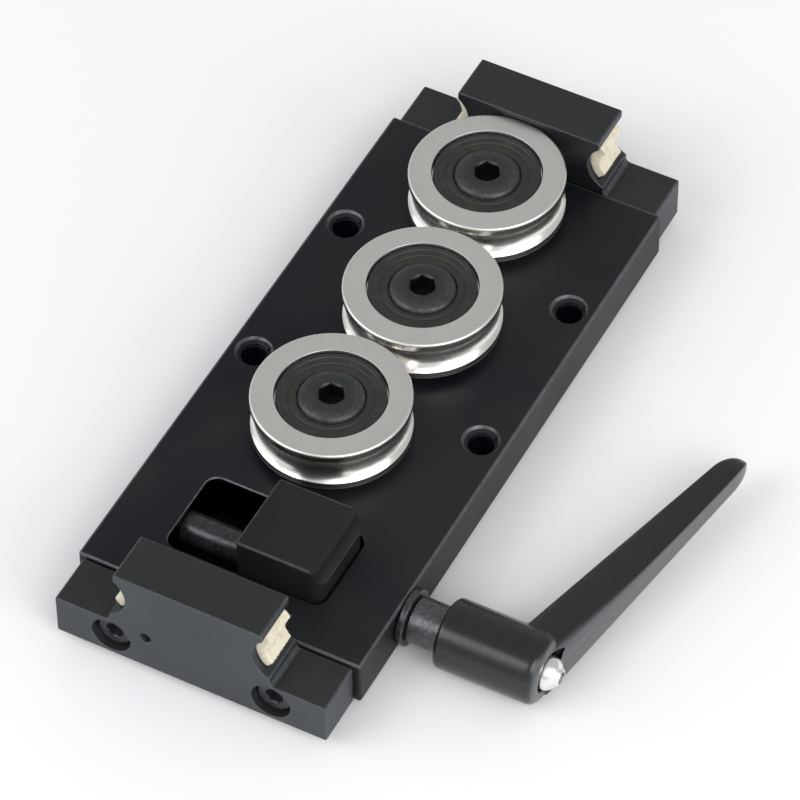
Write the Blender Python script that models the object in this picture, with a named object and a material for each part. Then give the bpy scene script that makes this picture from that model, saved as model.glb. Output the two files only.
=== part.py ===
"""Linear guide carriage: three grooved rollers on a plate, two end caps with felt wipers, and a clamp
worked by an indexing lever.

Sizes are in metres and +Z is up. The origin is the centre of the plate's mounting face. +Y runs along the
line of travel, +Z points to the rollers, and +X to the side with the clamp lever.
"""
import math

import bmesh
import bpy
from mathutils import Matrix, Vector

MM = 0.001

# Driving sizes of the plate; its length follows from the clamp's share and the row of rollers
PLATE_WIDTH = 46.0 * MM
PLATE_THICKNESS = 8.0 * MM
PLATE_CHAMFER = 0.4 * MM
CLAMP_SHARE = 24.6 * MM

# Gap that every pair of touching pieces keeps
FIT_GAP = 0.25 * MM

# M5 mounting holes, tapped right through the plate
MOUNT_EDGE_X = 4.0 * MM
MOUNT_SPACING_Y = 29.0 * MM
MOUNT_CENTRE_Y = 11.0 * MM
MOUNT_BORE = 5.0 * MM
MOUNT_MOUTH = 5.9 * MM

# The round guides that the rollers' grooves fit
SHAFT_DIAMETER = 6.0 * MM

# Rollers, numbered from the clamp end
ROLLER_COUNT = 3
ROLLER_DIAMETER = 24.0 * MM
ROLLER_WIDTH = 7.6 * MM
ROLLER_SPACING = 1.0 * MM
ROLLER_OVERHANG = 0.6 * MM
ROLLER_OFFSET = 1.0 * MM
ROLLER_STANDOFF = 1.4 * MM
GROOVE_CLEARANCE = 0.1 * MM
GROOVE_DEPTH = 1.14 * MM
FLANGE_ROUND = 0.4 * MM

# Ball bearing inside each roller
BALL_DIAMETER = 2.7 * MM
BALL_PITCH_RADIUS = 6.6 * MM
BALL_COUNT = 7
BALL_GAP = 0.3 * MM
INNER_LAND_RADIUS = 5.55 * MM
OUTER_LAND_RADIUS = 7.65 * MM
INNER_RING_WIDTH = 3.5 * MM
SEAL_SEAT_RADIUS = 8.45 * MM
SEAL_SEAT_DEPTH = 1.3 * MM
SEAL_THICKNESS = 0.7 * MM
SEAL_RECESS = 0.4 * MM
CAGE_WALL = 1.1 * MM
CAGE_HEIGHT = 1.0 * MM

# Axles that hold the rollers
AXLE_DIAMETER = 6.0 * MM
AXLE_HEAD_DIAMETER = 10.2 * MM
AXLE_HEAD_EDGE = 1.3 * MM
AXLE_HEAD_CROWN = 0.5 * MM
AXLE_HEAD_FLAT = 7.6 * MM
AXLE_HEAD_PROUD = 0.1 * MM
AXLE_HEX = 4.0 * MM
AXLE_HEX_DEPTH = 1.7 * MM
COLLAR_DIAMETER = 10.0 * MM
ECCENTRICITY = 0.6 * MM
NUT_ACROSS_FLATS = 10.0 * MM
NUT_HEIGHT = 2.8 * MM
NUT_BELOW_FACE = 0.4 * MM
NUT_POCKET_DIAMETER = 12.4 * MM

# End caps, their screws and the felt wipers
CAP_SIDE_STEP = 1.0 * MM
CAP_THICKNESS = 8.2 * MM
CAP_SETBACK = 0.2 * MM
CAP_TOP_STEP = 0.5 * MM
CAP_ROOF = 1.2 * MM
CAP_BAR_INSET = 2.86 * MM
CAP_FOOT_INSET = 1.86 * MM
CAP_NOTCH_CLEARANCE = 1.6 * MM
CAP_CHAMFER = 0.35 * MM
CAP_FOOT_FILLET = 0.8 * MM
CAP_OUTER_WALL = 1.2 * MM
CAP_INNER_WALL = 0.8 * MM
CAP_ROLLER_GAP = 0.4 * MM
FELT_THICKNESS = 1.75 * MM
FELT_HALF_ANGLE = math.radians(48.0)
CAP_SCREW_SPACING = 26.0 * MM
CAP_SCREW_HEIGHT = 3.85 * MM
CAP_SCREW_DIAMETER = 3.0 * MM
CAP_SCREW_HEAD = 5.5 * MM
CAP_SCREW_HEAD_HEIGHT = 3.0 * MM
CAP_SCREW_RECESS = 1.2 * MM
CAP_SCREW_REACH = 9.0 * MM
CAP_SCREW_HEX = 2.5 * MM
CAP_SCREW_HEX_DEPTH = 1.5 * MM
CAP_COUNTERBORE = 6.3 * MM
OIL_HOLE_DIAMETER = 1.8 * MM
OIL_HOLE_X = -7.2 * MM
OIL_HOLE_Z = 6.6 * MM
OIL_HOLE_DEPTH = 4.0 * MM

# Clamp: a block in a pocket of the plate, drawn outwards by a stud across the plate
CLAMP_END_DISTANCE = 14.4 * MM
CLAMP_AXIS_Z = 3.9 * MM
POCKET_INSET = 1.86 * MM
POCKET_LENGTH = 14.6 * MM
POCKET_CORNER = 2.0 * MM
BLOCK_GUIDE_GAP = 0.5 * MM
BLOCK_LEFT_X = -1.2 * MM
BLOCK_TOP_INSET = 4.26 * MM
BLOCK_BOTTOM = 0.6 * MM
BLOCK_ABOVE_SHAFT = 1.0 * MM
BLOCK_WALL_GAP = 0.4 * MM
JAW_LEAD_ANGLE = math.radians(170.0)
STUD_DIAMETER = 5.0 * MM
STUD_GUIDE_DEPTH = 5.0 * MM
STUD_CHAMFER = 0.5 * MM
WASHER_THICKNESS = 1.0 * MM
WASHER_DIAMETER = 8.8 * MM

# Indexing lever, measured outwards from the plate's side
INSERT_WALL = 1.1 * MM
INSERT_COLLAR_LENGTH = 4.8 * MM
INSERT_BORE_DEPTH = 7.0 * MM
INSERT_WEB = 1.0 * MM
TOOTH_COUNT = 12
TOOTH_PROUD = 0.1 * MM
TOOTH_DEPTH = 0.6 * MM
TOOTH_START = 10.8 * MM
LEVER_STROKE = 3.0 * MM
HUB_WALL = 1.7 * MM
HUB_LENGTH = 16.0 * MM
HUB_EDGE = 0.9 * MM
HUB_WEB = 1.0 * MM
SPRING_ROOM = 6.5 * MM
SPRING_WIRE = 0.5 * MM
SPRING_MEAN_DIAMETER = 4.6 * MM
SPRING_TURNS = 5
LEVER_SCREW_DIAMETER = 3.0 * MM
LEVER_SCREW_HEAD = 5.4 * MM
LEVER_SCREW_HEAD_HEIGHT = 3.2 * MM
LEVER_SCREW_REACH = 11.6 * MM
LEVER_SCREW_HEX = 2.0 * MM
LEVER_SCREW_HEX_DEPTH = 1.1 * MM
ARM_LENGTH = 49.5 * MM
ARM_RISE = math.radians(12.7)
ARM_FROM_HUB_END = 3.1 * MM
ARM_ROOT_WIDTH = 6.9 * MM
ARM_TIP_WIDTH = 4.0 * MM
ARM_WIDTH_POWER = 1.6
ARM_ROOT_HEIGHT = 9.2 * MM
ARM_TIP_HEIGHT = 4.2 * MM
ARM_TIP_ROUND = 4.5 * MM
ARM_SQUARENESS = 3.2

# Facets of the round pieces
RING_SEGMENTS = 28
SMALL_SEGMENTS = 18
WIRE_SIDES = 5
OVERSHOOT = 1.0 * MM

# Places that follow from the sizes above
ROLLER_BOTTOM = PLATE_THICKNESS + ROLLER_STANDOFF
ROLLER_TOP = ROLLER_BOTTOM + ROLLER_WIDTH
SHAFT_HEIGHT = ROLLER_BOTTOM + ROLLER_WIDTH / 2
GROOVE_RADIUS = SHAFT_DIAMETER / 2 + GROOVE_CLEARANCE
SHAFT_X = ROLLER_OFFSET + ROLLER_DIAMETER / 2 - GROOVE_DEPTH + SHAFT_DIAMETER / 2
ROLLER_PITCH = ROLLER_DIAMETER + ROLLER_SPACING
ROLLER_ROW_LENGTH = (ROLLER_COUNT - 1) * ROLLER_PITCH + ROLLER_DIAMETER
PLATE_LENGTH = CLAMP_SHARE + ROLLER_ROW_LENGTH - ROLLER_OVERHANG
PLATE_END = PLATE_LENGTH / 2
PLATE_SIDE = PLATE_WIDTH / 2
ROLLER_ROW_CENTRE_Y = PLATE_END + ROLLER_OVERHANG - ROLLER_ROW_LENGTH / 2
MOUNT_SPACING_X = PLATE_WIDTH - 2 * MOUNT_EDGE_X
CLAMP_CENTRE_Y = CLAMP_END_DISTANCE - PLATE_END
POCKET_WIDTH = 2 * (SHAFT_X - POCKET_INSET)
BLOCK_TOP = SHAFT_HEIGHT + BLOCK_ABOVE_SHAFT
BLOCK_TOP_RIGHT_X = SHAFT_X - BLOCK_TOP_INSET
CAP_WIDTH = PLATE_WIDTH - 2 * CAP_SIDE_STEP
CAP_BASE_TOP = PLATE_THICKNESS - CAP_TOP_STEP
CAP_TOP = ROLLER_TOP + CAP_ROOF
CAP_BAR_WIDTH = 2 * (SHAFT_X - CAP_BAR_INSET)
CAP_FOOT_WIDTH = 2 * (SHAFT_X - CAP_FOOT_INSET)
CAP_NOTCH_RADIUS = SHAFT_DIAMETER / 2 + CAP_NOTCH_CLEARANCE
INSERT_COLLAR_DIAMETER = STUD_DIAMETER + 2 * INSERT_WALL
TOOTH_TIP_DIAMETER = INSERT_COLLAR_DIAMETER + 2 * TOOTH_PROUD
TOOTH_ROOT_DIAMETER = TOOTH_TIP_DIAMETER - 2 * TOOTH_DEPTH
HUB_DIAMETER = TOOTH_TIP_DIAMETER + 2 * HUB_WALL
AXLE_BORE_RADIUS = AXLE_DIAMETER / 2 + FIT_GAP
INNER_RING_BOTTOM = ROLLER_WIDTH / 2 - INNER_RING_WIDTH / 2
INNER_RING_TOP = ROLLER_WIDTH / 2 + INNER_RING_WIDTH / 2
CAP_INNER_FACE = PLATE_END + FIT_GAP
CAP_OUTER_FACE = CAP_INNER_FACE + CAP_THICKNESS
FELT_POCKET_RADIUS = SHAFT_DIAMETER / 2 + FELT_THICKNESS + FIT_GAP
WASHER_X = PLATE_SIDE + FIT_GAP
INSERT_X = WASHER_X + WASHER_THICKNESS + FIT_GAP
HUB_X = INSERT_X + INSERT_COLLAR_LENGTH + FIT_GAP
HUB_END_X = HUB_X + HUB_LENGTH
TEETH_X = PLATE_SIDE + TOOTH_START
INSERT_END_X = TEETH_X + LEVER_STROKE - FIT_GAP
WEB_X = INSERT_END_X + FIT_GAP
SPRING_X = WEB_X + HUB_WEB + FIT_GAP
LEVER_HEAD_X = SPRING_X + SPRING_ROOM
SPRING_CAVITY_RADIUS = LEVER_SCREW_HEAD / 2 + FIT_GAP + 0.1 * MM
STUD_LEFT_X = -POCKET_WIDTH / 2 - STUD_GUIDE_DEPTH + FIT_GAP
STUD_RIGHT_X = INSERT_X + INSERT_BORE_DEPTH - FIT_GAP

TO_X = Matrix.Rotation(math.radians(90.0), 4, "Y")
TO_Y = Matrix.Rotation(math.radians(-90.0), 4, "X")


def clear_scene():
    """Remove every object that the open file holds."""
    for item in list(bpy.data.objects):
        bpy.data.objects.remove(item, do_unlink=True)


def finish_material(name, colour, metallic, roughness):
    """Return a Principled material."""
    material = bpy.data.materials.new(name)
    material.use_nodes = True
    shader = material.node_tree.nodes["Principled BSDF"]
    shader.inputs["Base Color"].default_value = (*colour, 1.0)
    shader.inputs["Metallic"].default_value = metallic
    shader.inputs["Roughness"].default_value = roughness
    material.diffuse_color = (*colour, 1.0)
    return material


def add_object(name, mesh, material=None, location=(0.0, 0.0, 0.0), smooth_angle=35.0):
    """Link an object that shows the mesh, shaded smooth across shallow edges."""
    if material is not None and not mesh.materials:
        mesh.materials.append(material)
    mesh.shade_smooth()
    mesh.set_sharp_from_angle(angle=math.radians(smooth_angle))
    item = bpy.data.objects.new(name, mesh)
    item.location = location
    bpy.context.scene.collection.objects.link(item)
    return item


def mesh_from(name, shape):
    """Turn a bmesh into a mesh with its faces pointing out."""
    bmesh.ops.recalc_face_normals(shape, faces=shape.faces)
    if shape.calc_volume(signed=True) < 0.0:
        bmesh.ops.reverse_faces(shape, faces=shape.faces)
    mesh = bpy.data.meshes.new(name)
    shape.to_mesh(mesh)
    shape.free()
    return mesh


def circle(radius, count, centre=(0.0, 0.0), phase=0.0):
    """Return the corners of a regular polygon."""
    step = 2 * math.pi / count
    return [(centre[0] + radius * math.cos(phase + step * i), centre[1] + radius * math.sin(phase + step * i))
            for i in range(count)]


def arc(centre, radius, start, end, count):
    """Return points along an arc, both ends included."""
    angles = [start + (end - start) * i / (count - 1) for i in range(count)]
    return [(centre[0] + radius * math.cos(a), centre[1] + radius * math.sin(a)) for a in angles]


def hexagon(across_flats):
    """Return a hexagon's corners."""
    return circle(across_flats / math.sqrt(3.0), 6)


def rounded_box(width, length, corner, centre, count=5):
    """Return a rectangle with round corners."""
    outline = []
    for quarter, (sx, sy) in enumerate(((1, 1), (-1, 1), (-1, -1), (1, -1))):
        middle = (centre[0] + sx * (width / 2 - corner), centre[1] + sy * (length / 2 - corner))
        start = quarter * math.pi / 2
        outline += arc(middle, corner, start, start + math.pi / 2, count)
    return outline


def turned(name, profile, segments, matrix=Matrix.Identity(4), closed=True):
    """Turn (radius, height) points about Z, as a ring or, where closed is False, as a solid on its axis."""
    shape = bmesh.new()
    rings = []
    for radius, height in profile:
        if radius == 0.0:
            rings.append([shape.verts.new((0.0, 0.0, height))])
        else:
            rings.append([shape.verts.new((x, y, height)) for x, y in circle(radius, segments)])
    pairs = list(zip(rings, rings[1:]))
    if closed:
        pairs.append((rings[-1], rings[0]))
    for low, high in pairs:
        for i in range(segments):
            j = (i + 1) % segments
            if len(low) == 1:
                shape.faces.new((low[0], high[j], high[i]))
            elif len(high) == 1:
                shape.faces.new((low[i], low[j], high[0]))
            else:
                shape.faces.new((low[i], low[j], high[j], high[i]))
    shape.transform(matrix)
    return mesh_from(name, shape)


def prism(name, outline, low, high, matrix=Matrix.Identity(4), chamfer=0.0):
    """Extrude an outline along Z between two heights, with its end edges chamfered."""
    shape = bmesh.new()
    floor = shape.faces.new([shape.verts.new((x, y, low)) for x, y in outline])
    grown = bmesh.ops.extrude_face_region(shape, geom=[floor])
    top = [v for v in grown["geom"] if isinstance(v, bmesh.types.BMVert)]
    bmesh.ops.translate(shape, verts=top, vec=(0.0, 0.0, high - low))
    if chamfer > 0.0:
        ends = [f for f in shape.faces if len({round(v.co.z, 9) for v in f.verts}) == 1]
        edges = list({e for f in ends for e in f.edges})
        bmesh.ops.bevel(shape, geom=edges, offset=chamfer, segments=1, profile=0.5, affect="EDGES",
                        clamp_overlap=True)
    shape.transform(matrix)
    return mesh_from(name, shape)


def swept(name, path, radius, sides):
    """Sweep a round wire along a list of points, with flat ends."""
    shape = bmesh.new()
    rings = []
    for i, point in enumerate(path):
        ahead = (path[min(i + 1, len(path) - 1)] - path[max(i - 1, 0)]).normalized()
        side = ahead.cross(Vector((1.0, 0.0, 0.0))).normalized()
        up = side.cross(ahead).normalized()
        rings.append([shape.verts.new(point + radius * (u * side + v * up)) for u, v in circle(1.0, sides)])
    for low, high in zip(rings, rings[1:]):
        for i in range(sides):
            j = (i + 1) % sides
            shape.faces.new((low[i], low[j], high[j], high[i]))
    shape.faces.new(rings[0])
    shape.faces.new(rings[-1])
    return mesh_from(name, shape)


def cut(target, tool, operation="DIFFERENCE"):
    """Cut the tool from the target, or join it on, and keep the tool out of the model."""
    modifier = target.modifiers.new(tool.name, "BOOLEAN")
    modifier.object = tool
    modifier.operation = operation
    modifier.solver = "EXACT"
    tool.hide_render = True
    tool.display_type = "WIRE"


def make_materials():
    """Return the materials by the name of what they finish."""
    return {
        "anodised": finish_material("black_anodised_aluminium", (0.030, 0.032, 0.038), 0.35, 0.45),
        "cap": finish_material("black_moulded_cap", (0.040, 0.043, 0.050), 0.0, 0.50),
        "roller": finish_material("ground_roller_steel", (0.640, 0.615, 0.570), 1.0, 0.22),
        "bearing": finish_material("bearing_steel", (0.600, 0.600, 0.600), 1.0, 0.18),
        "seal": finish_material("black_seal_rubber", (0.035, 0.034, 0.033), 0.0, 0.55),
        "black_steel": finish_material("black_oxide_steel", (0.028, 0.028, 0.030), 0.6, 0.38),
        "felt": finish_material("cream_felt", (0.740, 0.680, 0.520), 0.0, 0.95),
        "lever": finish_material("black_lever_coating", (0.032, 0.036, 0.038), 0.0, 0.38),
        "bright": finish_material("bright_zinc_steel", (0.720, 0.720, 0.730), 1.0, 0.20),
    }


def roller_places():
    """Return each roller's number and its centre, which steps from side to side of the middle line."""
    places = []
    for i in range(ROLLER_COUNT):
        y = ROLLER_ROW_CENTRE_Y + (i - (ROLLER_COUNT - 1) / 2) * ROLLER_PITCH
        side = 1.0 if i % 2 else -1.0
        places.append((i + 1, side * ROLLER_OFFSET, y))
    return places


def is_eccentric(number):
    """Tell whether a roller is the adjustable one, which runs on the shaft at the lever's side."""
    return number % 2 == 0


def axle_hole(number, x, y):
    """Return where a roller's axle goes through the plate."""
    return (x - ECCENTRICITY, y) if is_eccentric(number) else (x, y)


def build_plate(materials):
    """Model the plate with its tapped holes, axle bores, nut pockets, clamp pocket and stud bore."""
    outline = rounded_box(PLATE_WIDTH, PLATE_LENGTH, PLATE_CHAMFER, (0.0, 0.0), 2)
    mesh = prism("base_plate", outline, 0.0, PLATE_THICKNESS, chamfer=PLATE_CHAMFER)
    plate = add_object("base_plate", mesh, materials["anodised"])

    bore = MOUNT_BORE / 2
    flare = MOUNT_MOUTH / 2 - bore
    top = PLATE_THICKNESS
    hole = turned("mount_hole", [(0.0, -OVERSHOOT), (bore + flare + OVERSHOOT, -OVERSHOOT), (bore, flare),
                                 (bore, top - flare), (bore + flare + OVERSHOOT, top + OVERSHOOT),
                                 (0.0, top + OVERSHOOT)], SMALL_SEGMENTS, closed=False)
    for i, (sx, sy) in enumerate(((-1, -1), (1, -1), (-1, 1), (1, 1))):
        place = (sx * MOUNT_SPACING_X / 2, MOUNT_CENTRE_Y + sy * MOUNT_SPACING_Y / 2, 0.0)
        cut(plate, add_object(f"cutter_mount_hole_{i + 1}", hole, location=place))

    pocket_floor = NUT_BELOW_FACE + NUT_HEIGHT + FIT_GAP
    axle_cut = turned("axle_cut", [(0.0, -OVERSHOOT), (NUT_POCKET_DIAMETER / 2, -OVERSHOOT),
                                   (NUT_POCKET_DIAMETER / 2, pocket_floor), (AXLE_BORE_RADIUS, pocket_floor),
                                   (AXLE_BORE_RADIUS, top + OVERSHOOT), (0.0, top + OVERSHOOT)],
                      SMALL_SEGMENTS, closed=False)
    for number, x, y in roller_places():
        place = (*axle_hole(number, x, y), 0.0)
        cut(plate, add_object(f"cutter_axle_{number}", axle_cut, location=place))

    outline = rounded_box(POCKET_WIDTH, POCKET_LENGTH, POCKET_CORNER, (0.0, CLAMP_CENTRE_Y))
    pocket = prism("clamp_pocket", outline, -OVERSHOOT, top + OVERSHOOT)
    cut(plate, add_object("cutter_clamp_pocket", pocket))

    radius = STUD_DIAMETER / 2 + FIT_GAP
    low = -POCKET_WIDTH / 2 - STUD_GUIDE_DEPTH
    high = PLATE_SIDE + OVERSHOOT
    bore = turned("stud_bore", [(0.0, low), (radius, low), (radius, high), (0.0, high)], SMALL_SEGMENTS, TO_X,
                  closed=False)
    place = (0.0, CLAMP_CENTRE_Y, CLAMP_AXIS_Z)
    cut(plate, add_object("cutter_stud_bore", bore, location=place))

    radius = CAP_SCREW_DIAMETER / 2 + FIT_GAP
    low = CAP_OUTER_FACE - CAP_SCREW_RECESS - CAP_SCREW_HEAD_HEIGHT - CAP_SCREW_REACH - FIT_GAP
    high = PLATE_END + OVERSHOOT
    tapped = turned("cap_screw_hole", [(0.0, low), (radius, low), (radius, high), (0.0, high)],
                    SMALL_SEGMENTS // 2, TO_Y, closed=False)
    for sx in (-1, 1):
        for sy in (-1, 1):
            hole = add_object(f"cutter_cap_screw_{'lr'[sx > 0]}{'fr'[sy > 0]}", tapped,
                              location=(sx * CAP_SCREW_SPACING / 2, 0.0, CAP_SCREW_HEIGHT))
            hole.rotation_euler = (0.0, 0.0, 0.0 if sy > 0 else math.pi)
            cut(plate, hole)
    return plate


def roller_ring_profile():
    """Return the outer ring's section: two flanges, the shaft groove, seal seats and the ball race."""
    rim = ROLLER_DIAMETER / 2
    middle = ROLLER_WIDTH / 2
    race = BALL_DIAMETER / 2 + BALL_GAP
    groove_axis = rim - GROOVE_DEPTH + GROOVE_RADIUS
    reach = math.acos((groove_axis - rim) / GROOVE_RADIUS)
    half = math.acos((OUTER_LAND_RADIUS - BALL_PITCH_RADIUS) / race)
    low_side = [(SEAL_SEAT_RADIUS, 0.0), (rim - FLANGE_ROUND, 0.0), (rim, FLANGE_ROUND)]
    groove = arc((groove_axis, middle), GROOVE_RADIUS, math.pi + reach, math.pi - reach, 6)
    high_side = [(r, ROLLER_WIDTH - z) for r, z in reversed(low_side)]
    seat = [(SEAL_SEAT_RADIUS, ROLLER_WIDTH - SEAL_SEAT_DEPTH), (OUTER_LAND_RADIUS, ROLLER_WIDTH - SEAL_SEAT_DEPTH)]
    race_arc = arc((BALL_PITCH_RADIUS, middle), race, half, -half, 3)
    low_seat = [(r, ROLLER_WIDTH - z) for r, z in reversed(seat)]
    return low_side + groove + high_side + seat + race_arc + low_seat


def inner_ring_profile():
    """Return the inner ring's section with its ball race."""
    middle = ROLLER_WIDTH / 2
    race = BALL_DIAMETER / 2 + BALL_GAP
    half = math.acos((BALL_PITCH_RADIUS - INNER_LAND_RADIUS) / race)
    race_arc = arc((BALL_PITCH_RADIUS, middle), race, math.pi + half, math.pi - half, 3)
    return ([(AXLE_BORE_RADIUS, INNER_RING_BOTTOM), (INNER_LAND_RADIUS, INNER_RING_BOTTOM)] + race_arc
            + [(INNER_LAND_RADIUS, INNER_RING_TOP), (AXLE_BORE_RADIUS, INNER_RING_TOP)])


def seal_profile(bottom):
    """Return a seal's section: a flat shield inside a raised rim."""
    inner = AXLE_HEAD_DIAMETER / 2 + FIT_GAP
    outer = SEAL_SEAT_RADIUS - FIT_GAP
    top = bottom + SEAL_THICKNESS
    step = SEAL_THICKNESS / 3
    return [(inner, bottom), (outer, bottom), (outer, top), (outer - 3 * step, top), (inner, top - step)]


def ball_cage_mesh():
    """Return the mesh of a crown cage: a thin ring, with bridges between the ball seats."""
    inner = BALL_PITCH_RADIUS - CAGE_WALL / 2
    outer = BALL_PITCH_RADIUS + CAGE_WALL / 2
    floor = INNER_RING_BOTTOM - CAGE_HEIGHT / 4
    top = floor + CAGE_HEIGHT
    return turned("ball_cage", [(inner, floor), (outer, floor), (outer, top), (inner, top)], SMALL_SEGMENTS)


def build_cage(number, x, y, material, tools):
    """Model the ball set in its cage as one solid, with the balls seated on the cage ring."""
    place = Vector((x, y, ROLLER_BOTTOM))
    cage = add_object(f"ball_cage_{number}", tools["cage"], material, place)
    for i in range(BALL_COUNT):
        angle = 2 * math.pi * i / BALL_COUNT
        seat = Vector((BALL_PITCH_RADIUS * math.cos(angle), BALL_PITCH_RADIUS * math.sin(angle), ROLLER_WIDTH / 2))
        ball = add_object(f"tool_ball_{number}_{i + 1}", tools["ball"], material, place + seat)
        cut(cage, ball, "UNION")
    return cage


def ball_mesh():
    """Return one ball's mesh."""
    shape = bmesh.new()
    bmesh.ops.create_uvsphere(shape, u_segments=7, v_segments=5, radius=BALL_DIAMETER / 2)
    return mesh_from("ball", shape)


def build_rollers(materials):
    """Model each roller's ring, seals, ball set and inner ring."""
    ring = turned("roller_ring", roller_ring_profile(), RING_SEGMENTS)
    low_seal = turned("roller_seal_lower", [(r, ROLLER_WIDTH - z) for r, z in
                                            reversed(seal_profile(ROLLER_WIDTH - SEAL_RECESS - SEAL_THICKNESS))],
                      RING_SEGMENTS)
    high_seal = turned("roller_seal_upper", seal_profile(ROLLER_WIDTH - SEAL_RECESS - SEAL_THICKNESS), RING_SEGMENTS)
    inner = turned("inner_ring", inner_ring_profile(), SMALL_SEGMENTS)
    tools = {"cage": ball_cage_mesh(), "ball": ball_mesh()}
    for number, x, y in roller_places():
        place = (x, y, ROLLER_BOTTOM)
        add_object(f"roller_ring_{number}", ring, materials["roller"], place)
        add_object(f"roller_seal_lower_{number}", low_seal, materials["seal"], place)
        add_object(f"roller_seal_upper_{number}", high_seal, materials["seal"], place)
        add_object(f"inner_ring_{number}", inner, materials["bearing"], place)
        build_cage(number, x, y, materials["bearing"], tools)


def axle_head_profile():
    """Return the low button head's section above the inner ring, from the shank's corner to the axis."""
    edge = AXLE_HEAD_DIAMETER / 2
    under = INNER_RING_TOP + FIT_GAP
    top = ROLLER_WIDTH + AXLE_HEAD_PROUD
    return [(AXLE_DIAMETER / 2, under), (edge, under), (edge, under + AXLE_HEAD_EDGE),
            (AXLE_HEAD_FLAT / 2 + AXLE_HEAD_CROWN, top - AXLE_HEAD_CROWN / 4), (AXLE_HEAD_FLAT / 2, top), (0.0, top)]


def build_axles(materials):
    """Model the axle screws, the eccentric axle, the spacers under the inner rings and the nuts."""
    shank = AXLE_DIAMETER / 2
    foot = NUT_BELOW_FACE - ROLLER_BOTTOM
    seat = PLATE_THICKNESS + FIT_GAP - ROLLER_BOTTOM
    shoulder = INNER_RING_BOTTOM - FIT_GAP
    tip = [(0.0, foot), (shank - STUD_CHAMFER, foot), (shank, foot + STUD_CHAMFER)]
    plain = turned("axle_screw", tip + axle_head_profile(), SMALL_SEGMENTS, closed=False)
    collar = [(0.0, seat), (COLLAR_DIAMETER / 2, seat), (COLLAR_DIAMETER / 2, shoulder), (shank, shoulder)]
    upper = turned("eccentric_axle", collar + axle_head_profile(), SMALL_SEGMENTS, closed=False)
    spigot = turned("eccentric_spigot", tip + [(shank, seat + OVERSHOOT), (0.0, seat + OVERSHOOT)],
                    SMALL_SEGMENTS, closed=False)
    spacer = turned("axle_spacer", [(AXLE_BORE_RADIUS, seat), (COLLAR_DIAMETER / 2, seat),
                                    (COLLAR_DIAMETER / 2, shoulder), (AXLE_BORE_RADIUS, shoulder)], SMALL_SEGMENTS)
    socket = prism("axle_socket", hexagon(AXLE_HEX), ROLLER_WIDTH + AXLE_HEAD_PROUD - AXLE_HEX_DEPTH,
                   ROLLER_WIDTH + OVERSHOOT)
    nut = prism("axle_nut", hexagon(NUT_ACROSS_FLATS), NUT_BELOW_FACE, NUT_BELOW_FACE + NUT_HEIGHT)
    nut_bore = prism("nut_bore", circle(AXLE_BORE_RADIUS, SMALL_SEGMENTS), -OVERSHOOT, PLATE_THICKNESS)
    for number, x, y in roller_places():
        place = (x, y, ROLLER_BOTTOM)
        hole_x, hole_y = axle_hole(number, x, y)
        if is_eccentric(number):
            axle = add_object(f"eccentric_axle_{number}", upper, materials["black_steel"], place)
            cut(axle, add_object(f"tool_spigot_{number}", spigot, materials["black_steel"],
                                 (hole_x, hole_y, ROLLER_BOTTOM)), "UNION")
        else:
            axle = add_object(f"axle_screw_{number}", plain, materials["black_steel"], place)
            add_object(f"axle_spacer_{number}", spacer, materials["bearing"], place)
        cut(axle, add_object(f"cutter_axle_socket_{number}", socket, location=place))
        nut_item = add_object(f"axle_nut_{number}", nut, materials["black_steel"], (hole_x, hole_y, 0.0))
        cut(nut_item, add_object(f"cutter_nut_bore_{number}", nut_bore, location=(hole_x, hole_y, 0.0)))


def cap_outline():
    """Return the end cap's outline seen along the shafts: a low base and a riser with a notch at each side."""
    side = CAP_WIDTH / 2
    foot = CAP_FOOT_WIDTH / 2
    bar = CAP_BAR_WIDTH / 2
    centre = (SHAFT_X, SHAFT_HEIGHT)
    start = 2 * math.pi - math.acos((foot - SHAFT_X) / CAP_NOTCH_RADIUS)
    end = math.acos((bar - SHAFT_X) / CAP_NOTCH_RADIUS)
    fillet = arc((foot + CAP_FOOT_FILLET, CAP_BASE_TOP + CAP_FOOT_FILLET), CAP_FOOT_FILLET,
                 1.5 * math.pi, math.pi, 4)
    half = [(side, CAP_SETBACK), (side, CAP_BASE_TOP - CAP_CHAMFER), (side - CAP_CHAMFER, CAP_BASE_TOP)]
    half += fillet + arc(centre, CAP_NOTCH_RADIUS, start, end, 9)
    half += [(bar, CAP_TOP - CAP_CHAMFER), (bar - CAP_CHAMFER, CAP_TOP)]
    return half + [(-x, z) for x, z in reversed(half)]


def felt_outline(side, outer=SHAFT_DIAMETER / 2 + FELT_THICKNESS, half_angle=FELT_HALF_ANGLE):
    """Return a wiper's crescent round the guide shaft on one side, or the outline of its pocket."""
    middle = math.pi if side > 0 else 0.0
    centre = (side * SHAFT_X, SHAFT_HEIGHT)
    low = middle - half_angle
    high = middle + half_angle
    return arc(centre, outer, low, high, 8) + arc(centre, SHAFT_DIAMETER / 2, high, low, 8)


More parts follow.
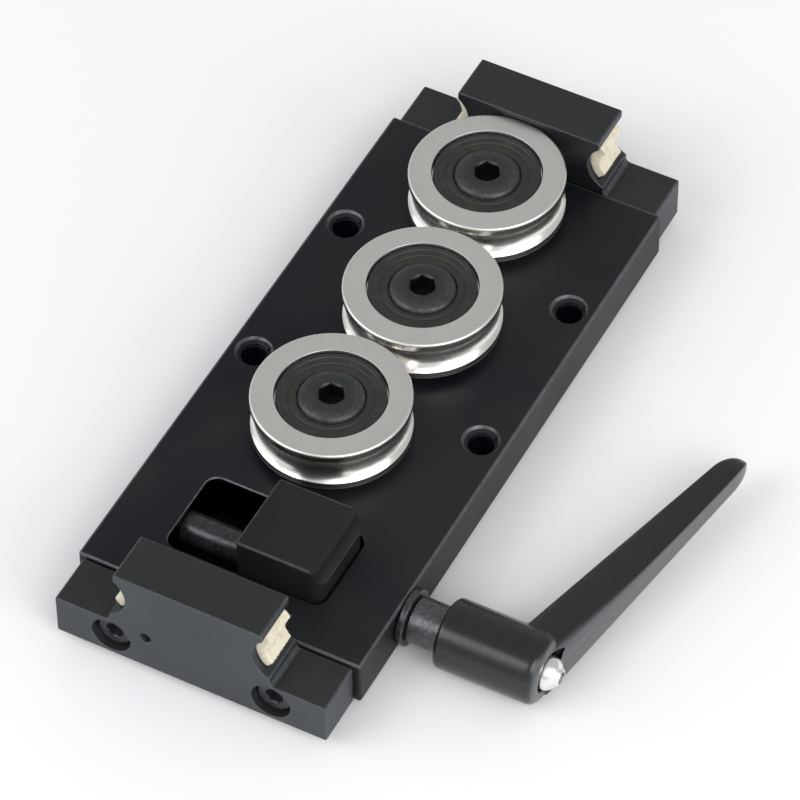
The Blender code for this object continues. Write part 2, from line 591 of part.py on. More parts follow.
def build_end_cap(end, sign, materials):
    """Model one end cap with its wipers and screws; sign is -1 at the clamp end and +1 at the other."""
    def along(value):
        """Return a height in the prism's own frame for a distance from the carriage's middle."""
        return sign * value

    upright = Matrix(((1, 0, 0, 0), (0, 0, 1, 0), (0, 1, 0, 0), (0, 0, 0, 1)))
    faces = sorted((along(CAP_INNER_FACE), along(CAP_OUTER_FACE)))
    cap = add_object(f"end_cap_{end}", prism(f"end_cap_{end}", cap_outline(), *faces, upright, CAP_CHAMFER / 2),
                     materials["cap"])
    pocket_ends = sorted((along(CAP_INNER_FACE + CAP_INNER_WALL), along(CAP_OUTER_FACE - CAP_OUTER_WALL)))
    felt_ends = (pocket_ends[0] + FIT_GAP, pocket_ends[1] - FIT_GAP)
    for word, side in (("left", -1), ("right", 1)):
        outline = felt_outline(side, FELT_POCKET_RADIUS, FELT_HALF_ANGLE + FIT_GAP / FELT_POCKET_RADIUS)
        pocket = prism(f"felt_pocket_{end}_{word}", outline, *pocket_ends, upright)
        cut(cap, add_object(f"cutter_felt_pocket_{end}_{word}", pocket))
        felt = prism(f"wiper_felt_{end}_{word}", felt_outline(side), *felt_ends, upright)
        add_object(f"wiper_felt_{end}_{word}", felt, materials["felt"])
        build_cap_screw(end, word, side, sign, cap, materials)
    number, x, y = roller_places()[-1 if sign > 0 else 0]
    relief = prism(f"roller_relief_{end}", circle(ROLLER_DIAMETER / 2 + CAP_ROLLER_GAP, RING_SEGMENTS),
                   ROLLER_BOTTOM - CAP_ROLLER_GAP, ROLLER_TOP + CAP_ROLLER_GAP)
    cut(cap, add_object(f"cutter_roller_relief_{end}", relief, location=(x, y, 0.0)))
    hole = turned(f"oil_hole_{end}", [(0.0, 0.0), (OIL_HOLE_DIAMETER / 2, 0.0),
                                      (OIL_HOLE_DIAMETER / 2, OIL_HOLE_DEPTH + OVERSHOOT),
                                      (0.0, OIL_HOLE_DEPTH + OVERSHOOT)], SMALL_SEGMENTS // 2, TO_Y, closed=False)
    item = add_object(f"cutter_oil_hole_{end}", hole,
                      location=(-sign * OIL_HOLE_X, along(CAP_OUTER_FACE - OIL_HOLE_DEPTH), OIL_HOLE_Z))
    item.rotation_euler = (0.0, 0.0, 0.0 if sign > 0 else math.pi)
    cut(cap, item)


def build_cap_screw(end, word, side, sign, cap, materials):
    """Model one socket screw of an end cap and cut its counterbored hole."""
    head_top = CAP_OUTER_FACE - CAP_SCREW_RECESS
    under = head_top - CAP_SCREW_HEAD_HEIGHT
    shank = CAP_SCREW_DIAMETER / 2
    head = CAP_SCREW_HEAD / 2
    edge = CAP_CHAMFER
    clear = shank + FIT_GAP
    place = (side * CAP_SCREW_SPACING / 2, 0.0, CAP_SCREW_HEIGHT)
    turn = 0.0 if sign > 0 else math.pi
    hole = turned(f"cap_hole_{end}_{word}", [(0.0, CAP_INNER_FACE - OVERSHOOT), (clear, CAP_INNER_FACE - OVERSHOOT),
                                             (clear, under - FIT_GAP), (CAP_COUNTERBORE / 2, under - FIT_GAP),
                                             (CAP_COUNTERBORE / 2, CAP_OUTER_FACE + OVERSHOOT),
                                             (0.0, CAP_OUTER_FACE + OVERSHOOT)], SMALL_SEGMENTS, TO_Y, closed=False)
    tool = add_object(f"cutter_cap_hole_{end}_{word}", hole, location=place)
    tool.rotation_euler = (0.0, 0.0, turn)
    cut(cap, tool)
    body = turned(f"cap_screw_{end}_{word}", [(0.0, under - CAP_SCREW_REACH), (shank - edge, under - CAP_SCREW_REACH),
                                              (shank, under - CAP_SCREW_REACH + edge), (shank, under),
                                              (head, under), (head, head_top - edge), (head - edge, head_top),
                                              (0.0, head_top)], SMALL_SEGMENTS // 2, TO_Y, closed=False)
    screw = add_object(f"cap_screw_{end}_{word}", body, materials["black_steel"], place)
    screw.rotation_euler = (0.0, 0.0, turn)
    socket = prism(f"cap_socket_{end}_{word}", hexagon(CAP_SCREW_HEX), head_top - CAP_SCREW_HEX_DEPTH,
                   head_top + OVERSHOOT, TO_Y)
    tool = add_object(f"cutter_cap_socket_{end}_{word}", socket, location=place)
    tool.rotation_euler = (0.0, 0.0, turn)
    cut(screw, tool)


def build_clamp_block(materials):
    """Model the block that slides in the pocket and presses its hollow jaw on the guide shaft."""
    grip = SHAFT_DIAMETER / 2 + FIT_GAP
    right = POCKET_WIDTH / 2 - BLOCK_WALL_GAP
    start = 2 * math.pi - math.acos((right - SHAFT_X) / grip)
    jaw = arc((SHAFT_X, SHAFT_HEIGHT), grip, start, JAW_LEAD_ANGLE, 7)
    outline = [(BLOCK_LEFT_X, BLOCK_BOTTOM), (right, BLOCK_BOTTOM)] + jaw
    outline += [(BLOCK_TOP_RIGHT_X, BLOCK_TOP), (BLOCK_LEFT_X, BLOCK_TOP)]
    half = POCKET_LENGTH / 2 - BLOCK_GUIDE_GAP
    upright = Matrix(((1, 0, 0, 0), (0, 0, 1, 0), (0, 1, 0, 0), (0, 0, 0, 1)))
    mesh = prism("clamp_block", outline, -half, half, upright, PLATE_CHAMFER)
    block = add_object("clamp_block", mesh, materials["anodised"], (0.0, CLAMP_CENTRE_Y, 0.0))
    reach = right - BLOCK_LEFT_X + 2 * POCKET_CORNER
    plan = prism("block_corners", rounded_box(reach, 2 * half, POCKET_CORNER, (right - reach / 2, CLAMP_CENTRE_Y)),
                 -OVERSHOOT, BLOCK_TOP + OVERSHOOT)
    cut(block, add_object("tool_block_corners", plan), "INTERSECT")
    radius = STUD_DIAMETER / 2 + FIT_GAP
    thread = turned("block_thread", [(0.0, -POCKET_WIDTH), (radius, -POCKET_WIDTH), (radius, POCKET_WIDTH),
                                     (0.0, POCKET_WIDTH)], SMALL_SEGMENTS, TO_X, closed=False)
    cut(block, add_object("cutter_block_thread", thread, location=(0.0, CLAMP_CENTRE_Y, CLAMP_AXIS_Z)))


def star(tip, root, count):
    """Return a serrated outline."""
    step = 2 * math.pi / count
    points = []
    for i in range(count):
        points.append((tip * math.cos(step * i), tip * math.sin(step * i)))
        points.append((root * math.cos(step * (i + 0.5)), root * math.sin(step * (i + 0.5))))
    return points


def build_clamp_screw(materials):
    """Model the stud, its washer, the serrated insert and the screw that keeps the lever on."""
    axis = (0.0, CLAMP_CENTRE_Y, CLAMP_AXIS_Z)
    radius = STUD_DIAMETER / 2
    edge = STUD_CHAMFER
    stud = turned("clamp_stud", [(0.0, STUD_LEFT_X), (radius - edge, STUD_LEFT_X), (radius, STUD_LEFT_X + edge),
                                 (radius, STUD_RIGHT_X - edge), (radius - edge, STUD_RIGHT_X), (0.0, STUD_RIGHT_X)],
                  SMALL_SEGMENTS, TO_X, closed=False)
    add_object("clamp_stud", stud, materials["black_steel"], axis)
    bore = radius + FIT_GAP
    washer = turned("thrust_washer", [(bore, WASHER_X), (WASHER_DIAMETER / 2, WASHER_X),
                                      (WASHER_DIAMETER / 2, WASHER_X + WASHER_THICKNESS),
                                      (bore, WASHER_X + WASHER_THICKNESS)], SMALL_SEGMENTS, TO_X)
    add_object("thrust_washer", washer, materials["black_steel"], axis)

    collar = INSERT_COLLAR_DIAMETER / 2
    insert = turned("lever_insert", [(0.0, INSERT_X), (collar - edge / 2, INSERT_X), (collar, INSERT_X + edge / 2),
                                     (collar, TEETH_X), (0.0, TEETH_X)], 2 * TOOTH_COUNT, TO_X, closed=False)
    item = add_object("lever_insert", insert, materials["black_steel"], axis)
    teeth = prism("insert_teeth", star(TOOTH_TIP_DIAMETER / 2, TOOTH_ROOT_DIAMETER / 2, TOOTH_COUNT),
                  TEETH_X - FIT_GAP, INSERT_END_X, TO_X)
    cut(item, add_object("tool_insert_teeth", teeth, materials["black_steel"], axis), "UNION")
    stud_seat = turned("insert_bore", [(0.0, INSERT_X - OVERSHOOT), (bore, INSERT_X - OVERSHOOT),
                                       (bore, INSERT_X + INSERT_BORE_DEPTH), (0.0, INSERT_X + INSERT_BORE_DEPTH)],
                       SMALL_SEGMENTS, TO_X, closed=False)
    cut(item, add_object("cutter_insert_bore", stud_seat, location=axis))
    thread = LEVER_SCREW_DIAMETER / 2 + FIT_GAP
    low = INSERT_X + INSERT_BORE_DEPTH + INSERT_WEB
    screw_seat = turned("insert_thread", [(0.0, low), (thread, low), (thread, INSERT_END_X + OVERSHOOT),
                                          (0.0, INSERT_END_X + OVERSHOOT)], SMALL_SEGMENTS, TO_X, closed=False)
    cut(item, add_object("cutter_insert_thread", screw_seat, location=axis))

    shank = LEVER_SCREW_DIAMETER / 2
    head = LEVER_SCREW_HEAD / 2
    end = LEVER_HEAD_X - LEVER_SCREW_REACH
    dome = arc((head / 2, LEVER_HEAD_X + LEVER_SCREW_HEAD_HEIGHT - head / 2), head / 2, 0.0, math.pi / 2, 4)
    body = turned("lever_screw", [(0.0, end), (shank - edge / 2, end), (shank, end + edge / 2), (shank, LEVER_HEAD_X),
                                  (head, LEVER_HEAD_X)] + dome + [(0.0, LEVER_HEAD_X + LEVER_SCREW_HEAD_HEIGHT)],
                  SMALL_SEGMENTS, TO_X, closed=False)
    screw = add_object("lever_screw", body, materials["bright"], axis)
    top = LEVER_HEAD_X + LEVER_SCREW_HEAD_HEIGHT
    socket = prism("lever_screw_socket", hexagon(LEVER_SCREW_HEX), top - LEVER_SCREW_HEX_DEPTH, top + OVERSHOOT, TO_X)
    cut(screw, add_object("cutter_lever_screw_socket", socket, location=axis))


def build_spring(materials):
    """Model the spring that pushes the lever onto the insert, with a closed coil at each end."""
    radius = SPRING_MEAN_DIAMETER / 2
    low = SPRING_X + SPRING_WIRE / 2
    high = LEVER_HEAD_X - FIT_GAP - SPRING_WIRE / 2
    steps = 11 * SPRING_TURNS
    closed = 1.0 / SPRING_TURNS
    rise = SPRING_WIRE * 1.3 / (high - low)
    path = []
    for i in range(steps + 1):
        t = i / steps
        if t < closed:
            height = rise * t / closed
        elif t > 1 - closed:
            height = 1 - rise * (1 - t) / closed
        else:
            height = rise + (1 - 2 * rise) * (t - closed) / (1 - 2 * closed)
        angle = 2 * math.pi * SPRING_TURNS * t
        path.append(Vector((low + (high - low) * height, radius * math.cos(angle), radius * math.sin(angle))))
    mesh = swept("lever_spring", path, SPRING_WIRE / 2, WIRE_SIDES)
    add_object("lever_spring", mesh, materials["bright"], (0.0, CLAMP_CENTRE_Y, CLAMP_AXIS_Z))


def arm_section(distance):
    """Return the lever arm's half width and half height at a distance from the hub's axis."""
    t = distance / ARM_LENGTH
    width = ARM_ROOT_WIDTH + (ARM_TIP_WIDTH - ARM_ROOT_WIDTH) * t ** ARM_WIDTH_POWER
    height = ARM_TIP_HEIGHT + (ARM_ROOT_HEIGHT - ARM_TIP_HEIGHT) * (1 - t) ** 2
    left = ARM_LENGTH - distance
    if left < ARM_TIP_ROUND:
        scale = math.sqrt(max(0.0, 1 - (1 - left / ARM_TIP_ROUND) ** 2))
        width *= scale
        height *= scale
    return width / 2, height / 2


def arm_mesh():
    """Loft the lever's arm through rounded sections, out from the hub's axis to a round tip."""
    shape = bmesh.new()
    ahead = Vector((math.sin(ARM_RISE), math.cos(ARM_RISE), 0.0))
    side = Vector((math.cos(ARM_RISE), -math.sin(ARM_RISE), 0.0))
    up = Vector((0.0, 0.0, 1.0))
    body = ARM_LENGTH - ARM_TIP_ROUND
    stations = [body * i / 8 for i in range(9)]
    stations += [body + ARM_TIP_ROUND * math.sin(math.pi / 2 * i / 4) for i in range(1, 4)]
    rings = []
    power = 2 / ARM_SQUARENESS
    for distance in stations:
        width, height = arm_section(distance)
        ring = []
        for u, v in circle(1.0, 16, phase=math.pi / 16):
            x = math.copysign(abs(u) ** power, u) * width
            z = math.copysign(abs(v) ** power, v) * height
            ring.append(shape.verts.new(ahead * distance + side * x + up * z))
        rings.append(ring)
    for low, high in zip(rings, rings[1:]):
        for i in range(16):
            j = (i + 1) % 16
            shape.faces.new((low[i], low[j], high[j], high[i]))
    shape.faces.new(rings[0])
    tip = shape.verts.new(ahead * ARM_LENGTH)
    for i in range(16):
        shape.faces.new((rings[-1][i], rings[-1][(i + 1) % 16], tip))
    return mesh_from("lever_arm", shape)


def build_handle(materials):
    """Model the lever: hub and arm joined, bored for the insert, the screw and the spring."""
    axis = (0.0, CLAMP_CENTRE_Y, CLAMP_AXIS_Z)
    radius = HUB_DIAMETER / 2
    hub = turned("lever_handle", [(0.0, HUB_X), (radius - HUB_EDGE / 2, HUB_X), (radius, HUB_X + HUB_EDGE / 2),
                                  (radius, HUB_END_X - HUB_EDGE), (radius - HUB_EDGE * 0.3, HUB_END_X - HUB_EDGE * 0.3),
                                  (radius - HUB_EDGE, HUB_END_X), (0.0, HUB_END_X)], RING_SEGMENTS, TO_X,
                 closed=False)
    handle = add_object("lever_handle", hub, materials["lever"], axis)
    arm = add_object("tool_lever_arm", arm_mesh(), materials["lever"],
                     (HUB_END_X - ARM_FROM_HUB_END, CLAMP_CENTRE_Y, CLAMP_AXIS_Z))
    cut(handle, arm, "UNION")
    tip = TOOTH_TIP_DIAMETER / 2 + FIT_GAP
    root = TOOTH_ROOT_DIAMETER / 2 + FIT_GAP
    wide = tip + FIT_GAP / 2
    mouth = turned("handle_mouth", [(0.0, HUB_X - OVERSHOOT), (wide, HUB_X - OVERSHOOT), (wide, TEETH_X + FIT_GAP),
                                    (0.0, TEETH_X + FIT_GAP)], SMALL_SEGMENTS, TO_X, closed=False)
    cut(handle, add_object("cutter_handle_mouth", mouth, location=axis))
    teeth = prism("handle_teeth", star(tip, root, TOOTH_COUNT), TEETH_X - OVERSHOOT, WEB_X, TO_X)
    cut(handle, add_object("cutter_handle_teeth", teeth, location=axis))
    clear = LEVER_SCREW_DIAMETER / 2 + FIT_GAP
    cavity = turned("handle_cavity", [(0.0, WEB_X - OVERSHOOT), (clear, WEB_X - OVERSHOOT), (clear, WEB_X + HUB_WEB),
                                      (SPRING_CAVITY_RADIUS, WEB_X + HUB_WEB),
                                      (SPRING_CAVITY_RADIUS, HUB_END_X + OVERSHOOT), (0.0, HUB_END_X + OVERSHOOT)],
                    SMALL_SEGMENTS, TO_X, closed=False)
    cut(handle, add_object("cutter_handle_cavity", cavity, location=axis))


def main():
    """Build the carriage."""
    clear_scene()
    materials = make_materials()
    build_plate(materials)
    build_rollers(materials)
    build_axles(materials)
    build_end_cap("front", -1, materials)
    build_end_cap("rear", 1, materials)
    build_clamp_block(materials)
    build_clamp_screw(materials)
    build_spring(materials)
    build_handle(materials)


main()
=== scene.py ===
"""Looks of the linear guide carriage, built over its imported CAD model.

Every size is in metres and in the CAD model's own frame: the origin is the centre of the plate's mounting face,
+Y runs along the line of travel, +Z points to the rollers and +X to the side with the clamp lever.
"""

import logging
import math
from dataclasses import dataclass
from enum import Enum
from functools import lru_cache
from typing import Mapping, Optional, Sequence, Union

import bmesh
import bpy
from mathutils import Matrix, Vector, noise


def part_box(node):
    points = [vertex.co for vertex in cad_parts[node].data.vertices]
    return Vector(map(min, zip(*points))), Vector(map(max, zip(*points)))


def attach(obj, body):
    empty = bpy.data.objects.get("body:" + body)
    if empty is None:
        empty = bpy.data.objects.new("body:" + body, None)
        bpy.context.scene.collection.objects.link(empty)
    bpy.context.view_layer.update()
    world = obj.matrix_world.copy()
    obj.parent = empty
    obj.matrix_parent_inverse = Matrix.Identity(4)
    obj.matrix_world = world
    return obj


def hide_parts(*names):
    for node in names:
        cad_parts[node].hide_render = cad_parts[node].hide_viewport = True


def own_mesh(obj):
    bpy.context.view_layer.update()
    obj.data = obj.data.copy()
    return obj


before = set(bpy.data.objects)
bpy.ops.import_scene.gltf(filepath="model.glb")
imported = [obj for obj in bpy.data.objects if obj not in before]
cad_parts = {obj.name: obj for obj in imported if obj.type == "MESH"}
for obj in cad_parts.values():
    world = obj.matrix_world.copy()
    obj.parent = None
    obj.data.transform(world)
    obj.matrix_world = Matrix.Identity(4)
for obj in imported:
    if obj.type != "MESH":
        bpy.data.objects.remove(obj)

MM = 0.001
TURN = 2 * math.pi
QUARTER = math.pi / 2
GAP = 0.25 * MM
THREAD_PITCH = 0.8 * MM
TINY = 1e-9
SLIVER = 0.002 * MM
LOG = logging.getLogger("carriage")
ORIGIN = (0.0, 0.0, 0.0)
STAY = Matrix.Identity(4)
TO_X = Matrix.Rotation(math.radians(90.0), 4, "Y")
TO_Y = Matrix.Rotation(math.radians(-90.0), 4, "X")
UPRIGHT = Matrix(((1, 0, 0, 0), (0, 0, 1, 0), (0, 1, 0, 0), (0, 0, 0, 1)))

# Places that more than one sub-assembly uses
GUIDE_X, GUIDE_Z = 14.86 * MM, 13.2 * MM
CAP_SCREW_X, CAP_SCREW_Z = 13.0 * MM, 3.85 * MM
CLAMP_Y, CLAMP_Z = -34.6 * MM, 3.9 * MM
CLAMP_AXIS = Matrix.Translation((0.0, CLAMP_Y, CLAMP_Z)) @ TO_X

# Worn edges: the attribute's name, the longest step of a worn round and the turn there that counts as fully worn;
# the least slope of a chamfer, what counts as level, and the widest upright strip that is worn
WEAR = "edge_wear"
WORN_ROUND, FULL_WEAR_TURN = 0.30 * MM, math.radians(16.0)
SLOPE, LEVEL, UPRIGHT_STRIP = 0.12, 0.99, 0.12 * MM

# A seal's section in millimetres: the radius, and the depth below the seal's top
SEAL_PROFILE = ((5.35, 0.70), (8.20, 0.70), (8.20, 0.06), (8.10, 0.0), (7.62, 0.0), (7.45, 0.20), (6.62, 0.22),
                (6.50, 0.36), (6.22, 0.36), (6.10, 0.22), (5.62, 0.24), (5.15, 0.40), (5.15, 0.62), (5.35, 0.62))

Point = tuple[float, float]
Place = tuple[float, float, float]
Colour = tuple[float, float, float]
Feed = Union[float, int, Sequence[float], "Signal", bpy.types.Material]
Sockets = Mapping[Union[int, str], Feed]


class End(Enum):
    """The two ends of the carriage, with the sign of their Y."""

    FRONT = -1
    REAR = 1


class Side(Enum):
    """The two sides of the carriage, with the sign of their X."""

    LEFT = -1
    RIGHT = 1


# Node trees


class Signal:
    """One output of a node. Sums written on it add Math nodes."""

    def __init__(self, tree: "Tree", socket: bpy.types.NodeSocket) -> None:
        """Keep the tree and the socket that gives the value."""
        self.tree = tree
        self.socket = socket

    def __add__(self, other: Feed) -> "Signal":
        """Return self + other."""
        return self.tree.math("ADD", self, other)

    def __sub__(self, other: Feed) -> "Signal":
        """Return self - other."""
        return self.tree.math("SUBTRACT", self, other)

    def __rsub__(self, other: Feed) -> "Signal":
        """Return other - self."""
        return self.tree.math("SUBTRACT", other, self)

    def __mul__(self, other: Feed) -> "Signal":
        """Return self * other."""
        return self.tree.math("MULTIPLY", self, other)

    def __truediv__(self, other: Feed) -> "Signal":
        """Return self / other."""
        return self.tree.math("DIVIDE", self, other)

    def __rtruediv__(self, other: Feed) -> "Signal":
        """Return other / self."""
        return self.tree.math("DIVIDE", other, self)

    def __abs__(self) -> "Signal":
        """Return the size of self."""
        return self.tree.math("ABSOLUTE", self)

    __radd__ = __add__
    __rmul__ = __mul__

    def between(self, low: float, high: float) -> "Signal":
        """Rise smoothly from 0 at low to 1 at high, which may be below low."""
        return self.tree.add("ShaderNodeMapRange", {0: self, 1: low, 2: high}, {"interpolation_type": "SMOOTHSTEP"})


class Tree:
    """A node tree with short ways to add and link nodes."""

    def __init__(self, tree: bpy.types.NodeTree) -> None:
        """Keep the tree, emptied."""
        self.tree = tree
        tree.nodes.clear()

    def node(self, kind: str, sockets: Optional[Sockets] = None,
             settings: Optional[Mapping[str, object]] = None) -> bpy.types.Node:
        """Add a node.

        Args:
            kind: The node's type.
            sockets: A value or a signal for each input.
            settings: Its settings, which are set first.

        Returns:
            The new node.
        """
        made = self.tree.nodes.new(kind)
        for key, value in (settings or {}).items():
            setattr(made, key, value)
        for key, value in (sockets or {}).items():
            if isinstance(value, Signal):
                self.tree.links.new(value.socket, made.inputs[key])
            else:
                made.inputs[key].default_value = value
        return made

    def add(self, kind: str, sockets: Optional[Sockets] = None, settings: Optional[Mapping[str, object]] = None,
            output: Union[int, str] = 0) -> Signal:
        """Add a node as above and return one of its outputs."""
        return Signal(self, self.node(kind, sockets, settings).outputs[output])

    def math(self, operation: str, first: Feed, second: Feed = 0.0) -> Signal:
        """Add a Math node and return its result."""
        return self.add("ShaderNodeMath", {0: first, 1: second}, {"operation": operation})

    def join(self, x: Feed = 0.0, y: Feed = 0.0, z: Feed = 0.0) -> Signal:
        """Join three values to a vector."""
        return self.add("ShaderNodeCombineXYZ", {0: x, 1: y, 2: z})

    def split(self, vector: Signal) -> list[Signal]:
        """Return the three parts of a vector."""
        return [Signal(self, part) for part in self.node("ShaderNodeSeparateXYZ", {0: vector}).outputs]


class Board(Tree):
    """The tree of a material or of the world, with what the finishes share."""

    def place(self, centre: Place = ORIGIN, turn: Place = ORIGIN, scale: Place = (1.0, 1.0, 1.0)) -> Signal:
        """Return object coordinates about a centre, turned with the piece and stretched by scale."""
        sockets = {"Vector": self.add("ShaderNodeTexCoord", output="Object"), "Location": centre,
                   "Rotation": turn, "Scale": scale}
        return self.add("ShaderNodeMapping", sockets, {"vector_type": "TEXTURE"})

    def polar(self, here: Signal) -> tuple[Signal, Signal, Signal]:
        """Return a place's distance from the Z axis, its angle about it and its height."""
        x, y, z = self.split(here)
        return self.math("SQRT", x * x + y * y), self.math("ARCTAN2", y, x), z

    def noise(self, where: Signal, size: float, detail: float = 2.0, rough: float = 0.5) -> Signal:
        """Return noise with patches of the given size, from 0 to 1 about a half."""
        return self.add("ShaderNodeTexNoise", {"Vector": where, "Scale": 1.0 / size, "Detail": detail,
                                               "Roughness": rough})

    def facing(self, axis: int) -> Signal:
        """Return one part of the surface's normal in the piece's own frame, from -1 to 1."""
        return self.split(self.add("ShaderNodeTexCoord", output="Normal"))[axis]

    def upward(self) -> Signal:
        """Return how far the surface faces up in the piece's own frame, from 0 to 1."""
        return self.facing(2).between(0.35, 0.90)

    def edge(self) -> Signal:
        """Return the piece's own mask of its worn edges."""
        return self.add("ShaderNodeAttribute", None, {"attribute_name": WEAR}, "Fac")

    def blend(self, share: Feed, first: Feed, second: Feed) -> Signal:
        """Mix two colours.

        Args:
            share: How much of the second colour shows.
            first: The first colour, as a tuple or a signal.
            second: The second colour, as a tuple or a signal.

        Returns:
            The mixed colour.
        """
        first, second = ((*c, 1.0) if isinstance(c, tuple) else c for c in (first, second))
        return self.add("ShaderNodeMix", {0: share, 6: first, 7: second}, {"data_type": "RGBA"}, 2)

    def bump(self, height: Signal, depth: float, strength: float, below: Optional[Signal] = None) -> Signal:
        """Turn a height into a normal.

        Args:
            height: The height, from 0 to 1.
            depth: The height's real size in metres.
            strength: How much of it shows.
            below: The normal of a coarser bump that this one lies on.

        Returns:
            The normal.
        """
        lower = {} if below is None else {"Normal": below}
        return self.add("ShaderNodeBump", {"Height": height, "Distance": depth, "Strength": strength, **lower})

    def surface(self, colour: Signal, rough: Feed, normal: Signal, metal: Feed = 0.0, specular: float = 0.5,
                sheen: float = 0.0) -> None:
        """Finish the tree with a Principled shader.

        Args:
            colour: The base colour.
            rough: The roughness.
            normal: The normal with its bumps.
            metal: How metallic the surface is.
            specular: The specular level.
            sheen: The weight of the sheen.
        """
        shader = self.add("ShaderNodeBsdfPrincipled", {
            "Base Color": colour, "Roughness": rough, "Normal": normal, "Metallic": metal,
            "Specular IOR Level": specular, "Sheen Weight": sheen})
        self.node("ShaderNodeOutputMaterial", {"Surface": shader})


# Finishes


def times(factor: float, colour: Colour) -> Colour:
    """Return a colour made lighter or darker by a factor."""
    return tuple(factor * part for part in colour)


@dataclass(frozen=True)
class Finish:
    """A finish that paints its own material and carries the name of a slot."""

    name: str
    slot: str

    def paint(self, board: Board) -> None:
        """Build the finish's nodes on an empty board."""
        raise NotImplementedError

    @lru_cache(maxsize=None)
    def material(self) -> bpy.types.Material:
        """Return the finish's material, which is made when it is first asked for."""
        made = bpy.data.materials.new(self.name)
        made.use_nodes = True
        self.paint(Board(made.node_tree))
        return made


@dataclass(frozen=True)
class AnodisedAluminium(Finish):
    """Black anodised aluminium: a fine blasted grain, paler rubbed edges that are partly a painted highlight, and
    painted shade down the bores and the pocket within a given box.
    """

    name: str = "black_anodised_aluminium"
    slot: str = "black_anodised"
    deep: Colour = (0.0070, 0.0085, 0.0120)
    faded: Colour = (0.0150, 0.0165, 0.0175)
    # worn and wear: paler rubbed edges, set strong enough to serve also as a painted highlight along the chamfers
    worn: Colour = (0.190, 0.200, 0.210)
    # bore: painted shade, the dark colour given to the walls of bores and the clamp pocket
    bore: Colour = (0.0010, 0.0014, 0.0040)
    roughness: float = 0.44
    wear: float = 0.60
    specular: float = 0.26
    # the box within which bores and pocket get painted shade; a box at the origin turns it off
    inside: Place = (22.6 * MM, 48.6 * MM, 8.0 * MM)

    def inner(self, board: Board, here: Signal) -> Signal:
        """Return the mask of painted shade on the walls below the top face and within the box; in the mounting holes it
        starts lower, so their upper walls stay lit.
        """
        x, y, z = board.split(here)
        half_x, half_y, top = self.inside
        depth = top - z - abs(x).between(15 * MM, 16 * MM) * 0.8 * MM
        deep = depth.between(0.15 * MM, 0.9 * MM) * z.between(0.1 * MM, 0.5 * MM)
        return deep * abs(x).between(half_x, half_x - 0.5 * MM) * abs(y).between(half_y, half_y - 0.5 * MM)

    def paint(self, board: Board) -> None:
        """Build the finish's nodes on an empty board."""
        here = board.place()
        cloud = board.noise(here, 21 * MM).between(0.32, 0.68)
        grain = board.noise(here, 0.14 * MM, 3.0, 0.6)
        lay = board.noise(board.place(scale=(1.0, 14.0, 1.0)), 0.22 * MM)
        nick = board.noise(here, 1.3 * MM, 3.0, 0.65).between(0.38, 0.66)
        # rubbed edges, partly real wear and partly a painted highlight along the chamfers and joints
        rub = board.edge() * (0.65 + nick * 0.35) * self.wear
        scuff = board.noise(board.place(turn=(0.0, 0.0, 0.7), scale=(1.0, 30.0, 1.0)), 0.35 * MM, 3.0)
        scuff = scuff.between(0.70, 0.80) * board.noise(here, 9 * MM).between(0.52, 0.70)
        # painted shade down the bores and pocket walls; the same mask raises Metallic below
        inner = self.inner(board, here)
        colour = board.blend(cloud, self.deep, self.faded)
        colour = board.blend(grain.between(0.55, 0.85) * 0.35, colour, times(2.2, self.faded))
        colour = board.blend(inner * 0.88, colour, self.bore)
        colour = board.blend(rub + scuff * 0.10, colour, self.worn)
        rough = self.roughness + (cloud - 0.5) * 0.10 + (lay - 0.5) * 0.16 - rub * 0.10
        normal = board.bump(lay, 0.0025 * MM, 0.5, board.bump(grain, 0.006 * MM, 0.7))
        board.surface(colour, rough, normal, 0.15 + rub * 0.75 + inner * 0.8, self.specular)


@dataclass(frozen=True)
class MouldedCap(Finish):
    """Dark, slightly blue moulded end cap with a spark-eroded grain; painted shade makes its upward faces and its inner
    faces darker.
    """

    name: str = "black_moulded_cap"
    slot: str = "black_cap"
    deep: Colour = (0.020, 0.024, 0.030)
    faded: Colour = (0.032, 0.037, 0.045)
    # top: painted shade, the darker colour that upward faces get
    top: Colour = (0.0130, 0.0140, 0.0140)
    # painted shade on the inner faces, which face the rollers; inner is their plane
    painted_inner_shade: Colour = (0.0030, 0.0030, 0.0030)
    worn: Colour = (0.16, 0.17, 0.18)
    inner: float = 49.25 * MM
    roughness: float = 0.42

    def paint(self, board: Board) -> None:
        """Build the finish's nodes on an empty board."""
        here = board.place()
        cloud = board.noise(here, 11 * MM, 3.0).between(0.30, 0.70)
        spark = board.noise(here, 0.17 * MM, 4.0, 0.65)
        dust = board.noise(here, 0.5 * MM).between(0.66, 0.74)
        nick = board.noise(here, 0.9 * MM, 3.0, 0.7).between(0.40, 0.66)
        rub = board.edge() * (0.50 + nick * 0.50) * 0.28
        along = abs(board.split(here)[1])
        # painted shade on the inner faces
        painted_inner_shade = along.between(self.inner + 0.35 * MM, self.inner + 0.1 * MM)
        colour = board.blend(cloud, self.deep, self.faded)
        colour = board.blend(spark.between(0.50, 0.80) * 0.30, colour, times(1.5, self.faded))
        colour = board.blend(painted_inner_shade * 0.75, colour, self.painted_inner_shade)
        # painted shade: upward faces darker than the walls
        colour = board.blend(board.upward(), colour, board.blend(cloud * 0.5, self.top, times(1.5, self.top)))
        colour = board.blend(rub + dust * 0.06, colour, self.worn)
        rough = self.roughness + (spark - 0.5) * 0.22 + (cloud - 0.5) * 0.08
        normal = board.bump(spark, 0.010 * MM, 0.8, board.bump(cloud, 0.010 * MM, 0.3))
        board.surface(colour, rough, normal, specular=0.42)


